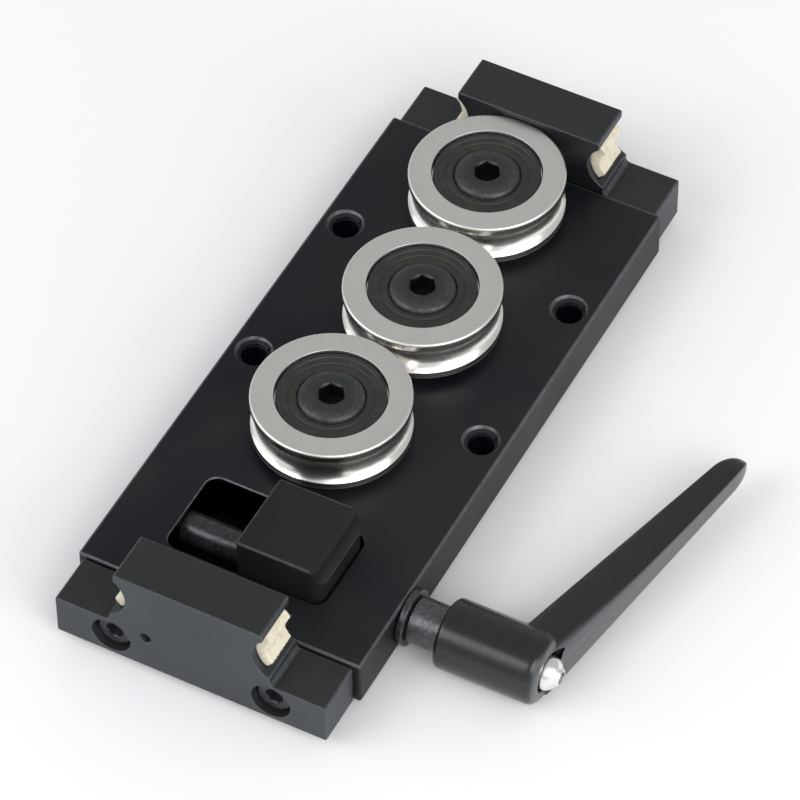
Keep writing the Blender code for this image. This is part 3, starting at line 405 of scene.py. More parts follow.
@dataclass(frozen=True)
class RollerSteel(Finish):
    """Hardened roller steel: ground flat faces with a concentric lay and a polished groove."""

    slot: str = "roller_steel"
    centre: Place = ORIGIN
    flat: Colour = (0.720, 0.708, 0.665)
    groove: Colour = (0.930, 0.905, 0.850)
    honed: Colour = (0.66, 0.62, 0.56)
    worn: Colour = (0.86, 0.85, 0.82)
    face_height: float = 3.30 * MM

    def paint(self, board: Board) -> None:
        """Build the finish's nodes on an empty board."""
        here = board.place(self.centre)
        radius, angle, z = board.polar(here)
        lay = board.noise(board.join(radius * 9000.0, angle * 1.6), 1.0, 3.0, 0.6)
        band = board.noise(board.join(radius * 1400.0, angle * 0.8), 1.0)
        polish = board.noise(board.join(z * 7000.0, angle * 2.0), 1.0, 3.0, 0.6)
        face = abs(z).between(self.face_height - 0.05 * MM, self.face_height + 0.05 * MM)
        stain = board.noise(here, 2.4 * MM, 3.0, 0.6).between(0.42, 0.72)
        edge = board.edge()
        flat = board.blend(stain * 0.35 + band * 0.25, self.flat, times(0.80, self.flat))
        round_part = board.blend(polish * 0.20, self.groove, self.honed)
        colour = board.blend(edge * 0.5, board.blend(face, round_part, flat), self.worn)
        rough = 0.21 + polish * 0.06 + face * (0.17 + (lay - 0.5) * 0.16 + stain * 0.05) - edge * 0.05
        normal = board.bump(lay * face, 0.004 * MM, 0.55, board.bump(polish * (1.0 - face), 0.0022 * MM, 0.35))
        board.surface(colour, rough, normal, 1.0)


@dataclass(frozen=True)
class MachinedSteel(Finish):
    """Bare or plated steel with fine marks and small stains."""

    clean: Colour = (0.62, 0.61, 0.60)
    stained: Colour = (0.44, 0.42, 0.40)
    worn: Colour = (0.85, 0.85, 0.84)
    roughness: float = 0.20
    mark: float = 0.10 * MM

    def paint(self, board: Board) -> None:
        """Build the finish's nodes on an empty board."""
        here = board.place()
        marks = board.noise(here, self.mark, 3.0, 0.6)
        stain = board.noise(here, 1.4 * MM, 3.0, 0.6).between(0.45, 0.72)
        colour = board.blend(board.edge() * 0.35, board.blend(stain * 0.6, self.clean, self.stained), self.worn)
        rough = self.roughness + (marks - 0.5) * 0.12 + stain * 0.08
        board.surface(colour, rough, board.bump(marks, 0.0018 * MM, 0.5), 1.0)


@dataclass(frozen=True)
class SealRubber(Finish):
    """Nitrile seal over a steel shield: dark, warm grey, with moulded rings and a little dust."""

    slot: str = "seal_rubber"
    centre: Place = ORIGIN
    deep: Colour = (0.018, 0.017, 0.015)
    dusty: Colour = (0.036, 0.034, 0.030)
    dust: Colour = (0.13, 0.12, 0.11)

    def paint(self, board: Board) -> None:
        """Build the finish's nodes on an empty board."""
        here = board.place(self.centre)
        ring = board.noise(board.join(board.polar(here)[0] * 6000.0), 1.0)
        speck = board.noise(here, 0.30 * MM, 3.0, 0.6)
        film = board.noise(here, 2.2 * MM, 3.0, 0.6).between(0.42, 0.70)
        colour = board.blend(film * 0.6 + ring * 0.2, self.deep, self.dusty)
        colour = board.blend(speck.between(0.64, 0.74) * 0.35, colour, self.dust)
        rough = 0.50 + (ring - 0.5) * 0.18 + film * 0.12
        normal = board.bump(ring, 0.006 * MM, 0.7, board.bump(speck, 0.008 * MM, 0.6))
        board.surface(colour, rough, normal, specular=0.45)


@dataclass(frozen=True)
class BlackOxideSteel(Finish):
    """Black oxide on steel, mottled, with steel showing at the rubbed edges."""

    name: str = "black_oxide_steel"
    slot: str = "black_steel"
    deep: Colour = (0.026, 0.028, 0.031)
    faded: Colour = (0.058, 0.060, 0.064)
    worn: Colour = (0.33, 0.33, 0.34)
    roughness: float = 0.34
    metal: float = 0.55

    def tone(self, board: Board, colour: Signal) -> Signal:
        """Return the colour with what a special place on the piece does to it."""
        return colour

    def paint(self, board: Board) -> None:
        """Build the finish's nodes on an empty board."""
        here = board.place()
        mottle = board.noise(here, 0.9 * MM, 4.0, 0.62).between(0.36, 0.70)
        fine = board.noise(here, 0.09 * MM, 3.0, 0.6)
        nick = board.noise(here, 0.6 * MM, 3.0, 0.7).between(0.40, 0.64)
        rub = board.edge() * (0.30 + nick * 0.70) * 0.5
        colour = self.tone(board, board.blend(rub, board.blend(mottle, self.deep, self.faded), self.worn))
        rough = self.roughness + (mottle - 0.5) * 0.08 + (fine - 0.5) * 0.10
        board.surface(colour, rough, board.bump(fine, 0.0020 * MM, 0.4), self.metal + rub * 0.4)


@dataclass(frozen=True)
class OxideHead(BlackOxideSteel):
    """Black oxide on an axle's button head, with painted shade down in its hex socket."""

    deep: Colour = (0.020, 0.021, 0.021)
    faded: Colour = (0.029, 0.030, 0.030)
    worn: Colour = (0.17, 0.17, 0.17)
    shadow: Colour = (0.0015, 0.0022, 0.0024)
    roughness: float = 0.40
    metal: float = 0.30
    centre: Place = ORIGIN
    socket: float = 2.15 * MM

    def tone(self, board: Board, colour: Signal) -> Signal:
        """Return the colour with painted shade in the socket below the head's top."""
        radius, _, z = board.polar(board.place(self.centre))
        socket_shade = radius.between(self.socket + 0.1 * MM, self.socket) * z.between(-0.25 * MM, -0.60 * MM)
        return board.blend(socket_shade * 0.92, colour, self.shadow)


@dataclass(frozen=True)
class WoolFelt(Finish):
    """Cream pressed wool felt with matted fibres and oily patches."""

    name: str = "cream_felt"
    slot: str = "cream_felt"
    clean: Colour = (0.760, 0.700, 0.540)
    oily: Colour = (0.430, 0.350, 0.200)
    fibre: Colour = (0.86, 0.82, 0.70)

    def paint(self, board: Board) -> None:
        """Build the finish's nodes on an empty board."""
        patch = board.noise(board.place(), 1.5 * MM, 3.0, 0.6).between(0.44, 0.76)
        across = board.noise(board.place(turn=(0.4, 0.0, 0.6), scale=(1.0, 7.0, 1.0)), 0.07 * MM, 3.0, 0.6)
        along = board.noise(board.place(turn=(0.0, 0.9, -0.5), scale=(1.0, 1.0, 7.0)), 0.07 * MM, 3.0, 0.6)
        mat = (across + along) * 0.5
        colour = board.blend(patch * 0.45, self.clean, self.oily)
        colour = board.blend(mat.between(0.40, 0.60) * 0.30, colour, self.fibre)
        board.surface(colour, 0.88 + mat * 0.10, board.bump(mat, 0.030 * MM, 0.9), specular=0.2, sheen=0.25)


@dataclass(frozen=True)
class LeverCoating(Finish):
    """Black powder coat on a zinc casting, with a fine orange peel, a painted reflection on faces that point along +X
    and painted shade on upward faces.
    """

    name: str = "black_lever_coating"
    slot: str = "lever_coating"
    deep: Colour = (0.0080, 0.0090, 0.0102)
    faded: Colour = (0.0125, 0.0140, 0.0148)
    # top: painted shade, the darker colour of upward faces
    top: Colour = (0.0065, 0.0075, 0.0062)
    # side: painted reflection, the lighter colour of faces that point along +X
    side: Colour = (0.076, 0.081, 0.085)
    worn: Colour = (0.13, 0.135, 0.14)
    roughness: float = 0.23

    def paint(self, board: Board) -> None:
        """Build the finish's nodes on an empty board."""
        here = board.place()
        cloud = board.noise(here, 7 * MM, 3.0).between(0.32, 0.68)
        peel = board.noise(here, 0.60 * MM, 1.0, 0.4)
        fine = board.noise(here, 0.12 * MM, 3.0, 0.6)
        touch = board.noise(here, 3.2 * MM, 3.0, 0.65).between(0.52, 0.76)
        rub = board.edge() * board.noise(here, 0.8 * MM, 3.0, 0.7).between(0.40, 0.66) * 0.4
        colour = board.blend(cloud, self.deep, self.faded)
        # painted reflection: faces that point along +X are lightened
        colour = board.blend(board.facing(0).between(0.55, 0.93), colour, self.side)
        # painted shade: upward faces darker
        colour = board.blend(board.upward() * 0.85, colour, self.top)
        colour = board.blend(rub, colour, self.worn)
        rough = self.roughness + (fine - 0.5) * 0.12 + touch * 0.08
        normal = board.bump(fine, 0.0020 * MM, 0.4, board.bump(peel, 0.012 * MM, 0.5))
        board.surface(colour, rough, normal, specular=0.55)


PLATE_FINISH = AnodisedAluminium()
BLOCK_FINISH = AnodisedAluminium("black_anodised_block", deep=(0.0105, 0.0110, 0.0095), faded=(0.0165, 0.0170, 0.0150),
                                 roughness=0.50, wear=0.30, inside=ORIGIN)
CAP_FINISH = MouldedCap()
BOLT_FINISH = BlackOxideSteel()
STUD_FINISH = BlackOxideSteel("black_oxide_stud", deep=(0.010, 0.011, 0.013), faded=(0.015, 0.016, 0.019),
                              worn=(0.20, 0.20, 0.21), roughness=0.26, metal=0.30)
# the insert's black steel painted lighter: a painted highlight on its collar
INSERT_FINISH = BlackOxideSteel("burnished_insert_steel", deep=(0.058, 0.063, 0.066), faded=(0.070, 0.075, 0.078),
                                worn=(0.42, 0.42, 0.42), roughness=0.34, metal=0.80)
BEARING_FINISH = MachinedSteel("bearing_steel", "bearing_steel")
ZINC_FINISH = MachinedSteel("bright_zinc_steel", "bright_steel", clean=(0.94, 0.92, 0.90), stained=(0.84, 0.79, 0.74),
                            roughness=0.24, mark=0.16 * MM)
FELT_FINISH = WoolFelt()
LEVER_FINISH = LeverCoating()


# Outlines and meshes


def arc(centre: Point, radius: float, start: float, end: float, count: int) -> list[Point]:
    """Return points along an arc, both ends included."""
    angles = [start + (end - start) * i / (count - 1) for i in range(count)]
    return [(centre[0] + radius * math.cos(a), centre[1] + radius * math.sin(a)) for a in angles]


def circle(radius: float, count: int, centre: Point = (0.0, 0.0)) -> list[Point]:
    """Return the corners of a regular polygon."""
    return [(centre[0] + radius * math.cos(TURN / count * i), centre[1] + radius * math.sin(TURN / count * i))
            for i in range(count)]


def hexagon(across_flats: float) -> list[Point]:
    """Return a hexagon's corners."""
    return circle(across_flats / math.sqrt(3.0), 6)


def rounded_box(width: float, length: float, corner: float, centre: Point, count: int) -> list[Point]:
    """Return a rectangle with round corners."""
    outline: list[Point] = []
    for quarter, (sx, sy) in enumerate(((1, 1), (-1, 1), (-1, -1), (1, -1))):
        middle = (centre[0] + sx * (width / 2 - corner), centre[1] + sy * (length / 2 - corner))
        outline += arc(middle, corner, quarter * QUARTER, (quarter + 1) * QUARTER, count)
    return outline


def flare(radius: float, face: float, lip: float, over: float = MM) -> list[Point]:
    """Return the end of a bore's rim, which widens by lip up to a face and goes on beyond it."""
    return [(radius, face - lip), (radius + over + lip, face + over)]


def flare_down(radius: float, face: float, lip: float, over: float = MM) -> list[Point]:
    """Return the start of a bore's rim, which comes up narrowing through a face."""
    return [(radius + over + lip, face - over), (radius, face + lip)]


def soften(points: Sequence[Point], radius: float, steps: int = 4, closed: bool = True,
           sharp: float = math.radians(22.0)) -> list[Point]:
    """Round the corners of an outline or a turned section.

    Args:
        points: The corners in order.
        radius: The round's radius, kept below what the neighbouring edges allow.
        steps: How many pieces each round has.
        closed: Whether the last point joins the first.
        sharp: Corners that turn less than this angle stay.

    Returns:
        The denser list of points.
    """
    count = len(points)
    out: list[Point] = []
    for i, point in enumerate(points):
        here = Vector(point)
        if not closed and i in (0, count - 1):
            out.append(tuple(here))
            continue
        back = Vector(points[i - 1]) - here
        ahead = Vector(points[(i + 1) % count]) - here
        if back.length < TINY or ahead.length < TINY:
            continue
        turn = math.pi - back.angle(ahead)
        if turn < sharp:
            out.append(tuple(here))
            continue
        reach = min(radius * math.tan(turn / 2), 0.45 * back.length, 0.45 * ahead.length)
        start = here + back.normalized() * reach
        end = here + ahead.normalized() * reach
        for t in (k / steps for k in range(steps + 1)):
            out.append(tuple(start * (1 - t) ** 2 + here * 2 * t * (1 - t) + end * t * t))
    return out


def corner_wear(points: Sequence[Point], closed: bool) -> list[float]:
    """Tell how far each point of a section lies on a convex round.

    Args:
        points: The section, already softened.
        closed: Whether the last point joins the first.

    Returns:
        One value from 0 to 1 for each point.
    """
    count = len(points)
    area = sum(points[i - 1][0] * points[i][1] - points[i][0] * points[i - 1][1] for i in range(count))
    wear: list[float] = []
    for i, point in enumerate(points):
        back = Vector(point) - Vector(points[i - 1])
        ahead = Vector(points[(i + 1) % count]) - Vector(point)
        short = TINY < min(back.length, ahead.length) < WORN_ROUND
        if not short or (not closed and i in (0, count - 1)):
            wear.append(0.0)
            continue
        turn = math.atan2(back.x * ahead.y - back.y * ahead.x, back.dot(ahead))
        wear.append(min(1.0, max(0.0, (turn if area > 0 else -turn) / FULL_WEAR_TURN)))
    return wear


def to_mesh(name: str, shape: bmesh.types.BMesh, matrix: Matrix = STAY) -> bpy.types.Mesh:
    """Turn a closed bmesh into a mesh with its faces pointing out, move it by the matrix and free it."""
    shape.transform(matrix)
    bmesh.ops.recalc_face_normals(shape, faces=shape.faces)
    if shape.calc_volume(signed=True) < 0.0:
        bmesh.ops.reverse_faces(shape, faces=shape.faces)
    mesh = bpy.data.meshes.new(name)
    shape.to_mesh(mesh)
    shape.free()
    return mesh


def turned(name: str, section: Sequence[Point], segments: int, matrix: Matrix = STAY, soft: float = 0.0,
           steps: int = 4, closed: bool = True) -> bpy.types.Mesh:
    """Turn a section of (radius, height) points about Z and mark its convex edges as worn.

    Args:
        name: The mesh's name.
        section: The section's corners.
        segments: How many steps there are round the axis.
        matrix: Where the result goes.
        soft: The radius that the section's corners get.
        steps: How many pieces each round has.
        closed: True for a ring, False for a solid whose section starts and ends on the axis.

    Returns:
        The turned mesh.
    """
    points = soften(section, soft, steps, closed) if soft > 0.0 else list(section)
    shape = bmesh.new()
    layer = shape.verts.layers.float.new(WEAR)
    rings: list[list[bmesh.types.BMVert]] = []
    for (radius, height), value in zip(points, corner_wear(points, closed)):
        places = [(0.0, 0.0)] if radius < TINY else circle(radius, segments)
        rings.append([shape.verts.new((x, y, height)) for x, y in places])
        for vert in rings[-1]:
            vert[layer] = value
    for low, high in zip(rings, rings[1:] + rings[:1] if closed else rings[1:]):
        if len(low) == 1 and len(high) == 1:
            continue
        for i in range(segments):
            j = (i + 1) % segments
            start = (low[0],) if len(low) == 1 else (low[i], low[j])
            end = (high[0],) if len(high) == 1 else (high[j], high[i])
            shape.faces.new(start + end)
    return to_mesh(name, shape, matrix)


def solid(name: str, rim: Sequence[Point], segments: int, matrix: Matrix = STAY, soft: float = 0.0,
          steps: int = 4) -> bpy.types.Mesh:
    """Turn a rim of (radius, height) points about Z and close it with a flat end at each end of the rim."""
    section = [(0.0, rim[0][1]), *rim, (0.0, rim[-1][1])]
    return turned(name, section, segments, matrix, soft, steps, False)


def prism(name: str, outline: Sequence[Point], low: float, high: float, matrix: Matrix = STAY,
          bevel: float = 0.0, segments: int = 3) -> bpy.types.Mesh:
    """Extrude an outline along Z and round its end edges.

    Args:
        name: The mesh's name.
        outline: The outline's corners.
        low: The lower end's height.
        high: The upper end's height.
        matrix: Where the result goes.
        bevel: The width of the round at the ends.
        segments: How many pieces that round has.

    Returns:
        The prism's mesh.
    """
    shape = bmesh.new()
    base = shape.faces.new([shape.verts.new((x, y, low)) for x, y in outline])
    grown = bmesh.ops.extrude_face_region(shape, geom=[base])
    top = [v for v in grown["geom"] if isinstance(v, bmesh.types.BMVert)]
    bmesh.ops.translate(shape, verts=top, vec=(0.0, 0.0, high - low))
    if bevel > 0.0:
        ends = [f for f in shape.faces if len({round(v.co.z, 9) for v in f.verts}) == 1]
        edges = list({e for f in ends for e in f.edges})
        bmesh.ops.bevel(shape, geom=edges, offset=bevel, segments=segments, profile=0.5, affect="EDGES",
                        clamp_overlap=True)
    return to_mesh(name, shape, matrix)


def lofted(name: str, levels: Sequence[Sequence[Place]], matrix: Matrix = STAY) -> bpy.types.Mesh:
    """Skin a list of closed rings that have the same number of points, with flat ends."""
    shape = bmesh.new()
    rings = [[shape.verts.new(point) for point in level] for level in levels]
    for low, high in zip(rings, rings[1:]):
        for i in range(len(low)):
            shape.faces.new((low[i - 1], low[i], high[i], high[i - 1]))
    for ring in (rings[0], rings[-1]):
        shape.faces.new(ring)
    return to_mesh(name, shape, matrix)


def loose_object(mesh: bpy.types.Mesh) -> bpy.types.Object:
    """Link an object that shows the mesh."""
    item = bpy.data.objects.new(mesh.name, mesh)
    bpy.context.scene.collection.objects.link(item)
    return item


def plain_mesh(item: bpy.types.Object) -> bpy.types.Mesh:
    """Return what the object's modifiers give as a mesh of its own, and remove the object."""
    depsgraph = bpy.context.evaluated_depsgraph_get()
    made = bpy.data.meshes.new_from_object(item.evaluated_get(depsgraph), preserve_all_data_layers=True,
                                           depsgraph=depsgraph)
    bpy.data.objects.remove(item, do_unlink=True)
    return made


def carved(mesh: bpy.types.Mesh, cuts: Sequence[bpy.types.Mesh],
           first: Sequence[tuple[bpy.types.Mesh, str]] = ()) -> bpy.types.Mesh:
    """Apply Boolean tools to a mesh, then take out doubled points and slivers.

    Args:
        mesh: The mesh to work on.
        cuts: The tools that are taken away from it, in order.
        first: Tools that are applied before them, each with its operation.

    Returns:
        The carved mesh.
    """
    item = loose_object(mesh)
    helpers: list[bpy.types.Object] = []
    for tool, operation in [*first, *((cut, "DIFFERENCE") for cut in cuts)]:
        helpers.append(loose_object(tool))
        modifier = item.modifiers.new(tool.name, "BOOLEAN")
        modifier.object = helpers[-1]
        modifier.operation = operation
        modifier.solver = "EXACT"
    made = plain_mesh(item)
    for helper in helpers:
        bpy.data.objects.remove(helper, do_unlink=True)
    shape = bmesh.new()
    shape.from_mesh(made)
    bmesh.ops.remove_doubles(shape, verts=shape.verts[:], dist=SLIVER)
    bmesh.ops.dissolve_degenerate(shape, edges=shape.edges[:], dist=SLIVER)
    shape.to_mesh(made)
    shape.free()
    return made


def remeshed(mesh: bpy.types.Mesh, voxel: float, smooth: int = 0) -> bpy.types.Mesh:
    """Rebuild a mesh from voxels and smooth it a number of times."""
    item = loose_object(mesh)
    remesh = item.modifiers.new("remesh", "REMESH")
    remesh.mode = "VOXEL"
    remesh.voxel_size = voxel
    if smooth:
        modifier = item.modifiers.new("smooth", "SMOOTH")
        modifier.factor = 0.5
        modifier.iterations = smooth
    return plain_mesh(item)


def mark_narrow_faces(mesh: bpy.types.Mesh, widest: float) -> None:
    """Mark chamfer strips as worn edges: sloping faces that are narrow on average, and finer upright ones."""
    old = mesh.attributes.get(WEAR)
    if old is not None:
        mesh.attributes.remove(old)
    layer = mesh.attributes.new(WEAR, "FLOAT", "CORNER")
    values = [0.0] * len(mesh.loops)
    for face in mesh.polygons:
        width = face.area / max((mesh.vertices[a].co - mesh.vertices[b].co).length for a, b in face.edge_keys)
        x, y, z = (abs(part) for part in face.normal)
        slanted = SLOPE < z < LEVEL or (min(x, y) > SLOPE and width < UPRIGHT_STRIP)
        if slanted and width < widest:
            for loop in face.loop_indices:
                values[loop] = 1.0
    layer.data.foreach_set("value", values)


def install(mesh: bpy.types.Mesh, finish: Finish, body: str, node: str = "", name: str = "", angle: float = 38.0,
            weighted: bool = True) -> bpy.types.Object:
    """Make a finished piece from a mesh and set it on its CAD body.

    Args:
        mesh: The piece's mesh, already in place.
        finish: Its finish.
        body: The CAD body that it rides on.
        node: The CAD node that it stands for, if any.
        name: Its name, where that isn't the node's name with _body.
        angle: The largest angle that is shaded smooth, in degrees.
        weighted: Whether wide faces stay flat beside their rounds.

    Returns:
        The piece.
    """
    name = name or f"{node}_body"
    mesh.name = name
    mesh.materials.clear()
    mesh.materials.append(finish.material())
    mesh.shade_smooth()
    mesh.set_sharp_from_angle(angle=math.radians(angle))
    item = loose_object(mesh)
    if weighted:
        modifier = item.modifiers.new("weighted_normals", "WEIGHTED_NORMAL")
        modifier.keep_sharp = True
        modifier.weight = 80
    final = plain_mesh(item)
    final.name = name
    piece = loose_object(final)
    piece.name = name
    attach(piece, body)
    if node:
        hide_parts(node)
    LOG.info("piece %s on %s, %d faces", name, body, len(final.polygons))
    return piece


# Repeated shapes made by Geometry Nodes


class Pattern(Tree):
    """A Geometry Nodes tree that is given its sizes by name and turned into a plain mesh."""

    def __init__(self, name: str) -> None:
        """Make an empty tree with a geometry input and output."""
        super().__init__(bpy.data.node_groups.new(name, "GeometryNodeTree"))
        self.name = name
        for way in ("INPUT", "OUTPUT"):
            self.tree.interface.new_socket("Geometry", in_out=way, socket_type="NodeSocketGeometry")
        self.source = self.tree.nodes.new("NodeGroupInput")
        self.values: dict[str, Union[float, int]] = {}

    def size(self, name: str, value: Union[float, int]) -> Signal:
        """Add a named input with its value: a float for a length, an int for a count."""
        kind = "NodeSocketInt" if isinstance(value, int) else "NodeSocketFloat"
        item = self.tree.interface.new_socket(name, in_out="INPUT", socket_type=kind)
        self.values[item.identifier] = value
        return Signal(self, next(s for s in self.source.outputs if s.identifier == item.identifier))

    def spread(self, points: Feed, shape: Signal, rotation: Feed = ORIGIN, scale: Place = (1.0, 1.0, 1.0)) -> Signal:
        """Set a copy of a shape on each point."""
        return self.add("GeometryNodeInstanceOnPoints", {"Points": points, "Instance": shape, "Rotation": rotation,
                                                         "Scale": scale})

    def ring(self, count: Signal, radius: Signal) -> tuple[Signal, Signal]:
        """Return points on a circle, and the rotation that turns each one's copy to face outwards."""
        points = self.add("GeometryNodeMeshCircle", {"Vertices": count, "Radius": radius})
        return points, self.join(z=self.add("GeometryNodeInputIndex") * (TURN / count))

    def wire(self, path: Signal, radius: Signal, corners: int, turn: float = 0.0) -> Signal:
        """Sweep a regular polygon, turned by an angle, along a curve."""
        section = self.add("GeometryNodeCurvePrimitiveCircle", {"Resolution": corners, "Radius": radius})
        section = self.add("GeometryNodeTransform", {"Geometry": section, "Rotation": (0.0, 0.0, turn)})
        return self.add("GeometryNodeCurveToMesh", {"Curve": path, "Profile Curve": section, "Fill Caps": True})

    def make(self, shape: Signal, finish: Finish, matrix: Matrix = STAY,
             base: Optional[bpy.types.Mesh] = None) -> bpy.types.Mesh:
        """End the tree in Realize Instances and Set Material, and run it.

        Args:
            shape: The tree's result.
            finish: The finish that it gets.
            matrix: Where the result goes.
            base: The mesh that the tree starts from, or None for a single point.

        Returns:
            The result as a plain mesh.
        """
        real = self.add("GeometryNodeRealizeInstances", {0: shape})
        dressed = self.add("GeometryNodeSetMaterial", {"Geometry": real, "Material": finish.material()})
        self.tree.links.new(dressed.socket, self.tree.nodes.new("NodeGroupOutput").inputs[0])
        item = loose_object(points_mesh(self.name, [ORIGIN]) if base is None else base)
        modifier = item.modifiers.new(self.name, "NODES")
        modifier.node_group = self.tree
        for identifier, value in self.values.items():
            modifier[identifier] = value
        made = plain_mesh(item)
        made.transform(matrix)
        return made


def points_mesh(name: str, places: Sequence[Place]) -> bpy.types.Mesh:
    """Return a mesh that holds only points."""
    mesh = bpy.data.meshes.new(name)
    mesh.from_pydata(list(places), [], [])
    return mesh


@dataclass(frozen=True)
class ThreadRidge:
    """A screw thread's ridge, wound up Z from each of several places."""

    radius: float
    length: float
    ridge: float
    inwards: bool = False
    steps: int = 30

    def mesh(self, name: str, places: Sequence[Place], finish: Finish, matrix: Matrix = STAY) -> bpy.types.Mesh:
        """Return the ridges as one mesh, moved by the matrix."""
        pattern = Pattern(name)
        radius = pattern.size("Radius", self.radius)
        length = pattern.size("Length", self.length)
        ridge = pattern.size("Ridge", self.ridge)
        turns = pattern.size("Turns", self.length / THREAD_PITCH)
        spiral = pattern.add("GeometryNodeCurveSpiral", {"Resolution": self.steps, "Rotations": turns,
                                                         "Start Radius": radius, "End Radius": radius,
                                                         "Height": length})
        level = pattern.add("GeometryNodeSetCurveNormal", {"Curve": spiral}, {"mode": "Z_UP"})
        wound = pattern.wire(level, ridge, 3, 0.0 if self.inwards else math.pi)
        start = Signal(pattern, pattern.source.outputs[0])
        return pattern.make(pattern.spread(start, wound), finish, matrix, points_mesh(name, places))


@dataclass(frozen=True)
class BallRow:
    """The balls of one bearing with the fingers of their cage between them."""

    count: int
    pitch_radius: float
    ball_radius: float
    finger: Place = (0.8 * MM, 0.9 * MM, 1.5 * MM)
    finger_drop: float = 0.6

    def mesh(self, name: str, centre: Place, finish: Finish) -> bpy.types.Mesh:
        """Set the balls round a centre and return them as one mesh."""
        pattern = Pattern(name)
        count = pattern.size("Count", self.count)
        pitch = pattern.size("Pitch Radius", self.pitch_radius)
        size = pattern.size("Ball Radius", self.ball_radius)
        row, spin = pattern.ring(count, pitch)
        ball = pattern.add("GeometryNodeMeshIcoSphere", {"Radius": size, "Subdivisions": 4})
        balls = pattern.spread(row, pattern.add("GeometryNodeSetShadeSmooth", {0: ball}))
        fingers = pattern.spread(row, pattern.add("GeometryNodeMeshCube", {"Size": self.finger}), spin)
        between = pattern.add("GeometryNodeTransform", {"Geometry": fingers,
                                                        "Translation": (0.0, 0.0, -self.finger_drop * self.ball_radius),
                                                        "Rotation": (0.0, 0.0, math.pi / self.count)})
        both = pattern.node("GeometryNodeJoinGeometry", {0: between})
        pattern.tree.links.new(balls.socket, both.inputs[0])
        return pattern.make(Signal(pattern, both.outputs[0]), finish, Matrix.Translation(centre))


@dataclass(frozen=True)
class Serrations:
    """Wedge teeth round an axis."""

    count: int
    tip_radius: float
    depth: float
    length: float
    stretch: float = 1.45

    def mesh(self, name: str, matrix: Matrix, finish: Finish) -> bpy.types.Mesh:
        """Set the teeth round Z, centred on the origin, and move them by the matrix."""
        pattern = Pattern(name)
        count = pattern.size("Count", self.count)
        tip = pattern.size("Tip Radius", self.tip_radius)
        depth = pattern.size("Depth", self.depth)
        length = pattern.size("Length", self.length)
        wedge = pattern.add("GeometryNodeMeshCylinder", {"Vertices": 3, "Radius": depth, "Depth": length})
        row, spin = pattern.ring(count, tip - depth)
        return pattern.make(pattern.spread(row, wedge, spin, (1.0, self.stretch, 1.0)), finish, matrix)


@dataclass(frozen=True)
class CoilSpring:
    """A compression spring whose pitch closes up towards its ends."""

    mean_radius: float
    wire_radius: float
    turns: int
    low: float
    high: float
    closing: float = 0.55
    steps: int = 40

    def mesh(self, name: str, matrix: Matrix, finish: Finish) -> bpy.types.Mesh:
        """Wind the spring up Z between its two heights and move it by the matrix."""
        pattern = Pattern(name)
        radius = pattern.size("Mean Radius", self.mean_radius)
        wire = pattern.size("Wire Radius", self.wire_radius)
        turns = pattern.size("Turns", self.turns)
        height = pattern.size("Height", self.high - self.low)
        samples = self.steps * self.turns + 1
        line = pattern.add("GeometryNodeMeshLine", {"Count": samples})
        share = pattern.add("GeometryNodeInputIndex") / (samples - 1.0)
        angle = share * (turns * TURN)
        eased = share - pattern.math("SINE", share * TURN) * (self.closing / TURN)
        where = pattern.join(radius * pattern.math("COSINE", angle), radius * pattern.math("SINE", angle),
                             eased * height)
        bent = pattern.add("GeometryNodeSetPosition", {"Geometry": line, "Position": where})
        path = pattern.add("GeometryNodeMeshToCurve", {"Mesh": bent})
        return pattern.make(pattern.wire(path, wire, 12), finish, matrix @ Matrix.Translation((0, 0, self.low)))


@dataclass(frozen=True)
class Fuzz:
    """Short loose fibres that stand on a felt's surface."""

    per_area: float
    length: float
    thickness: float
    seed: int

    def mesh(self, name: str, base: bpy.types.Mesh, finish: Finish) -> bpy.types.Mesh:
        """Grow the fibres on the base mesh and return them without it."""
        pattern = Pattern(name)
        density = pattern.size("Density", self.per_area)
        length = pattern.size("Length", self.length)
        thickness = pattern.size("Thickness", self.thickness)
        seed = pattern.size("Seed", self.seed)
        start = Signal(pattern, pattern.source.outputs[0])
        points = pattern.node("GeometryNodeDistributePointsOnFaces", {"Mesh": start, "Density": density, "Seed": seed})
        hair = pattern.add("GeometryNodeCurveQuadraticBezier", {
            "Resolution": 4, "Start": ORIGIN, "Middle": pattern.join(length * 0.35, z=length * 0.45),
            "End": pattern.join(length * 0.9, z=length * 0.35)})
        strand = pattern.wire(hair, thickness, 3)
        random = pattern.node("FunctionNodeRandomValue", {"Min": 0.0, "Max": TURN, "Seed": seed},
                              {"data_type": "FLOAT"})
        spin = pattern.join(z=Signal(pattern, next(s for s in random.outputs if s.enabled)))
        rotation = pattern.add("FunctionNodeRotateRotation", {0: Signal(pattern, points.outputs["Rotation"]), 1: spin},
                               {"rotation_space": "LOCAL"})
        return pattern.make(pattern.spread(Signal(pattern, points.outputs[0]), strand, rotation), finish, base=base)


# Shapes that several sub-assemblies use


def middle_of(node: str) -> Place:
    """Return the middle of a CAD node's box."""
    low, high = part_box(node)
    return tuple((a + b) / 2 for a, b in zip(low, high))


def tube(name: str, inner: float, outer: float, low: float, high: float, segments: int, matrix: Matrix,
         soft: float) -> bpy.types.Mesh:
    """Turn a plain ring about Z and soften its corners."""
    return turned(name, [(inner, low), (outer, low), (outer, high), (inner, high)], segments, matrix, soft)


def dome(inner: Point, outer: Point, steps: int) -> list[Point]:
    """Return a quarter of an ellipse from its outer, lower point to its inner, upper one."""
    angles = [QUARTER * i / steps for i in range(steps + 1)]
    return [(inner[0] + (outer[0] - inner[0]) * math.cos(a), outer[1] + (inner[1] - outer[1]) * math.sin(a))
            for a in angles]


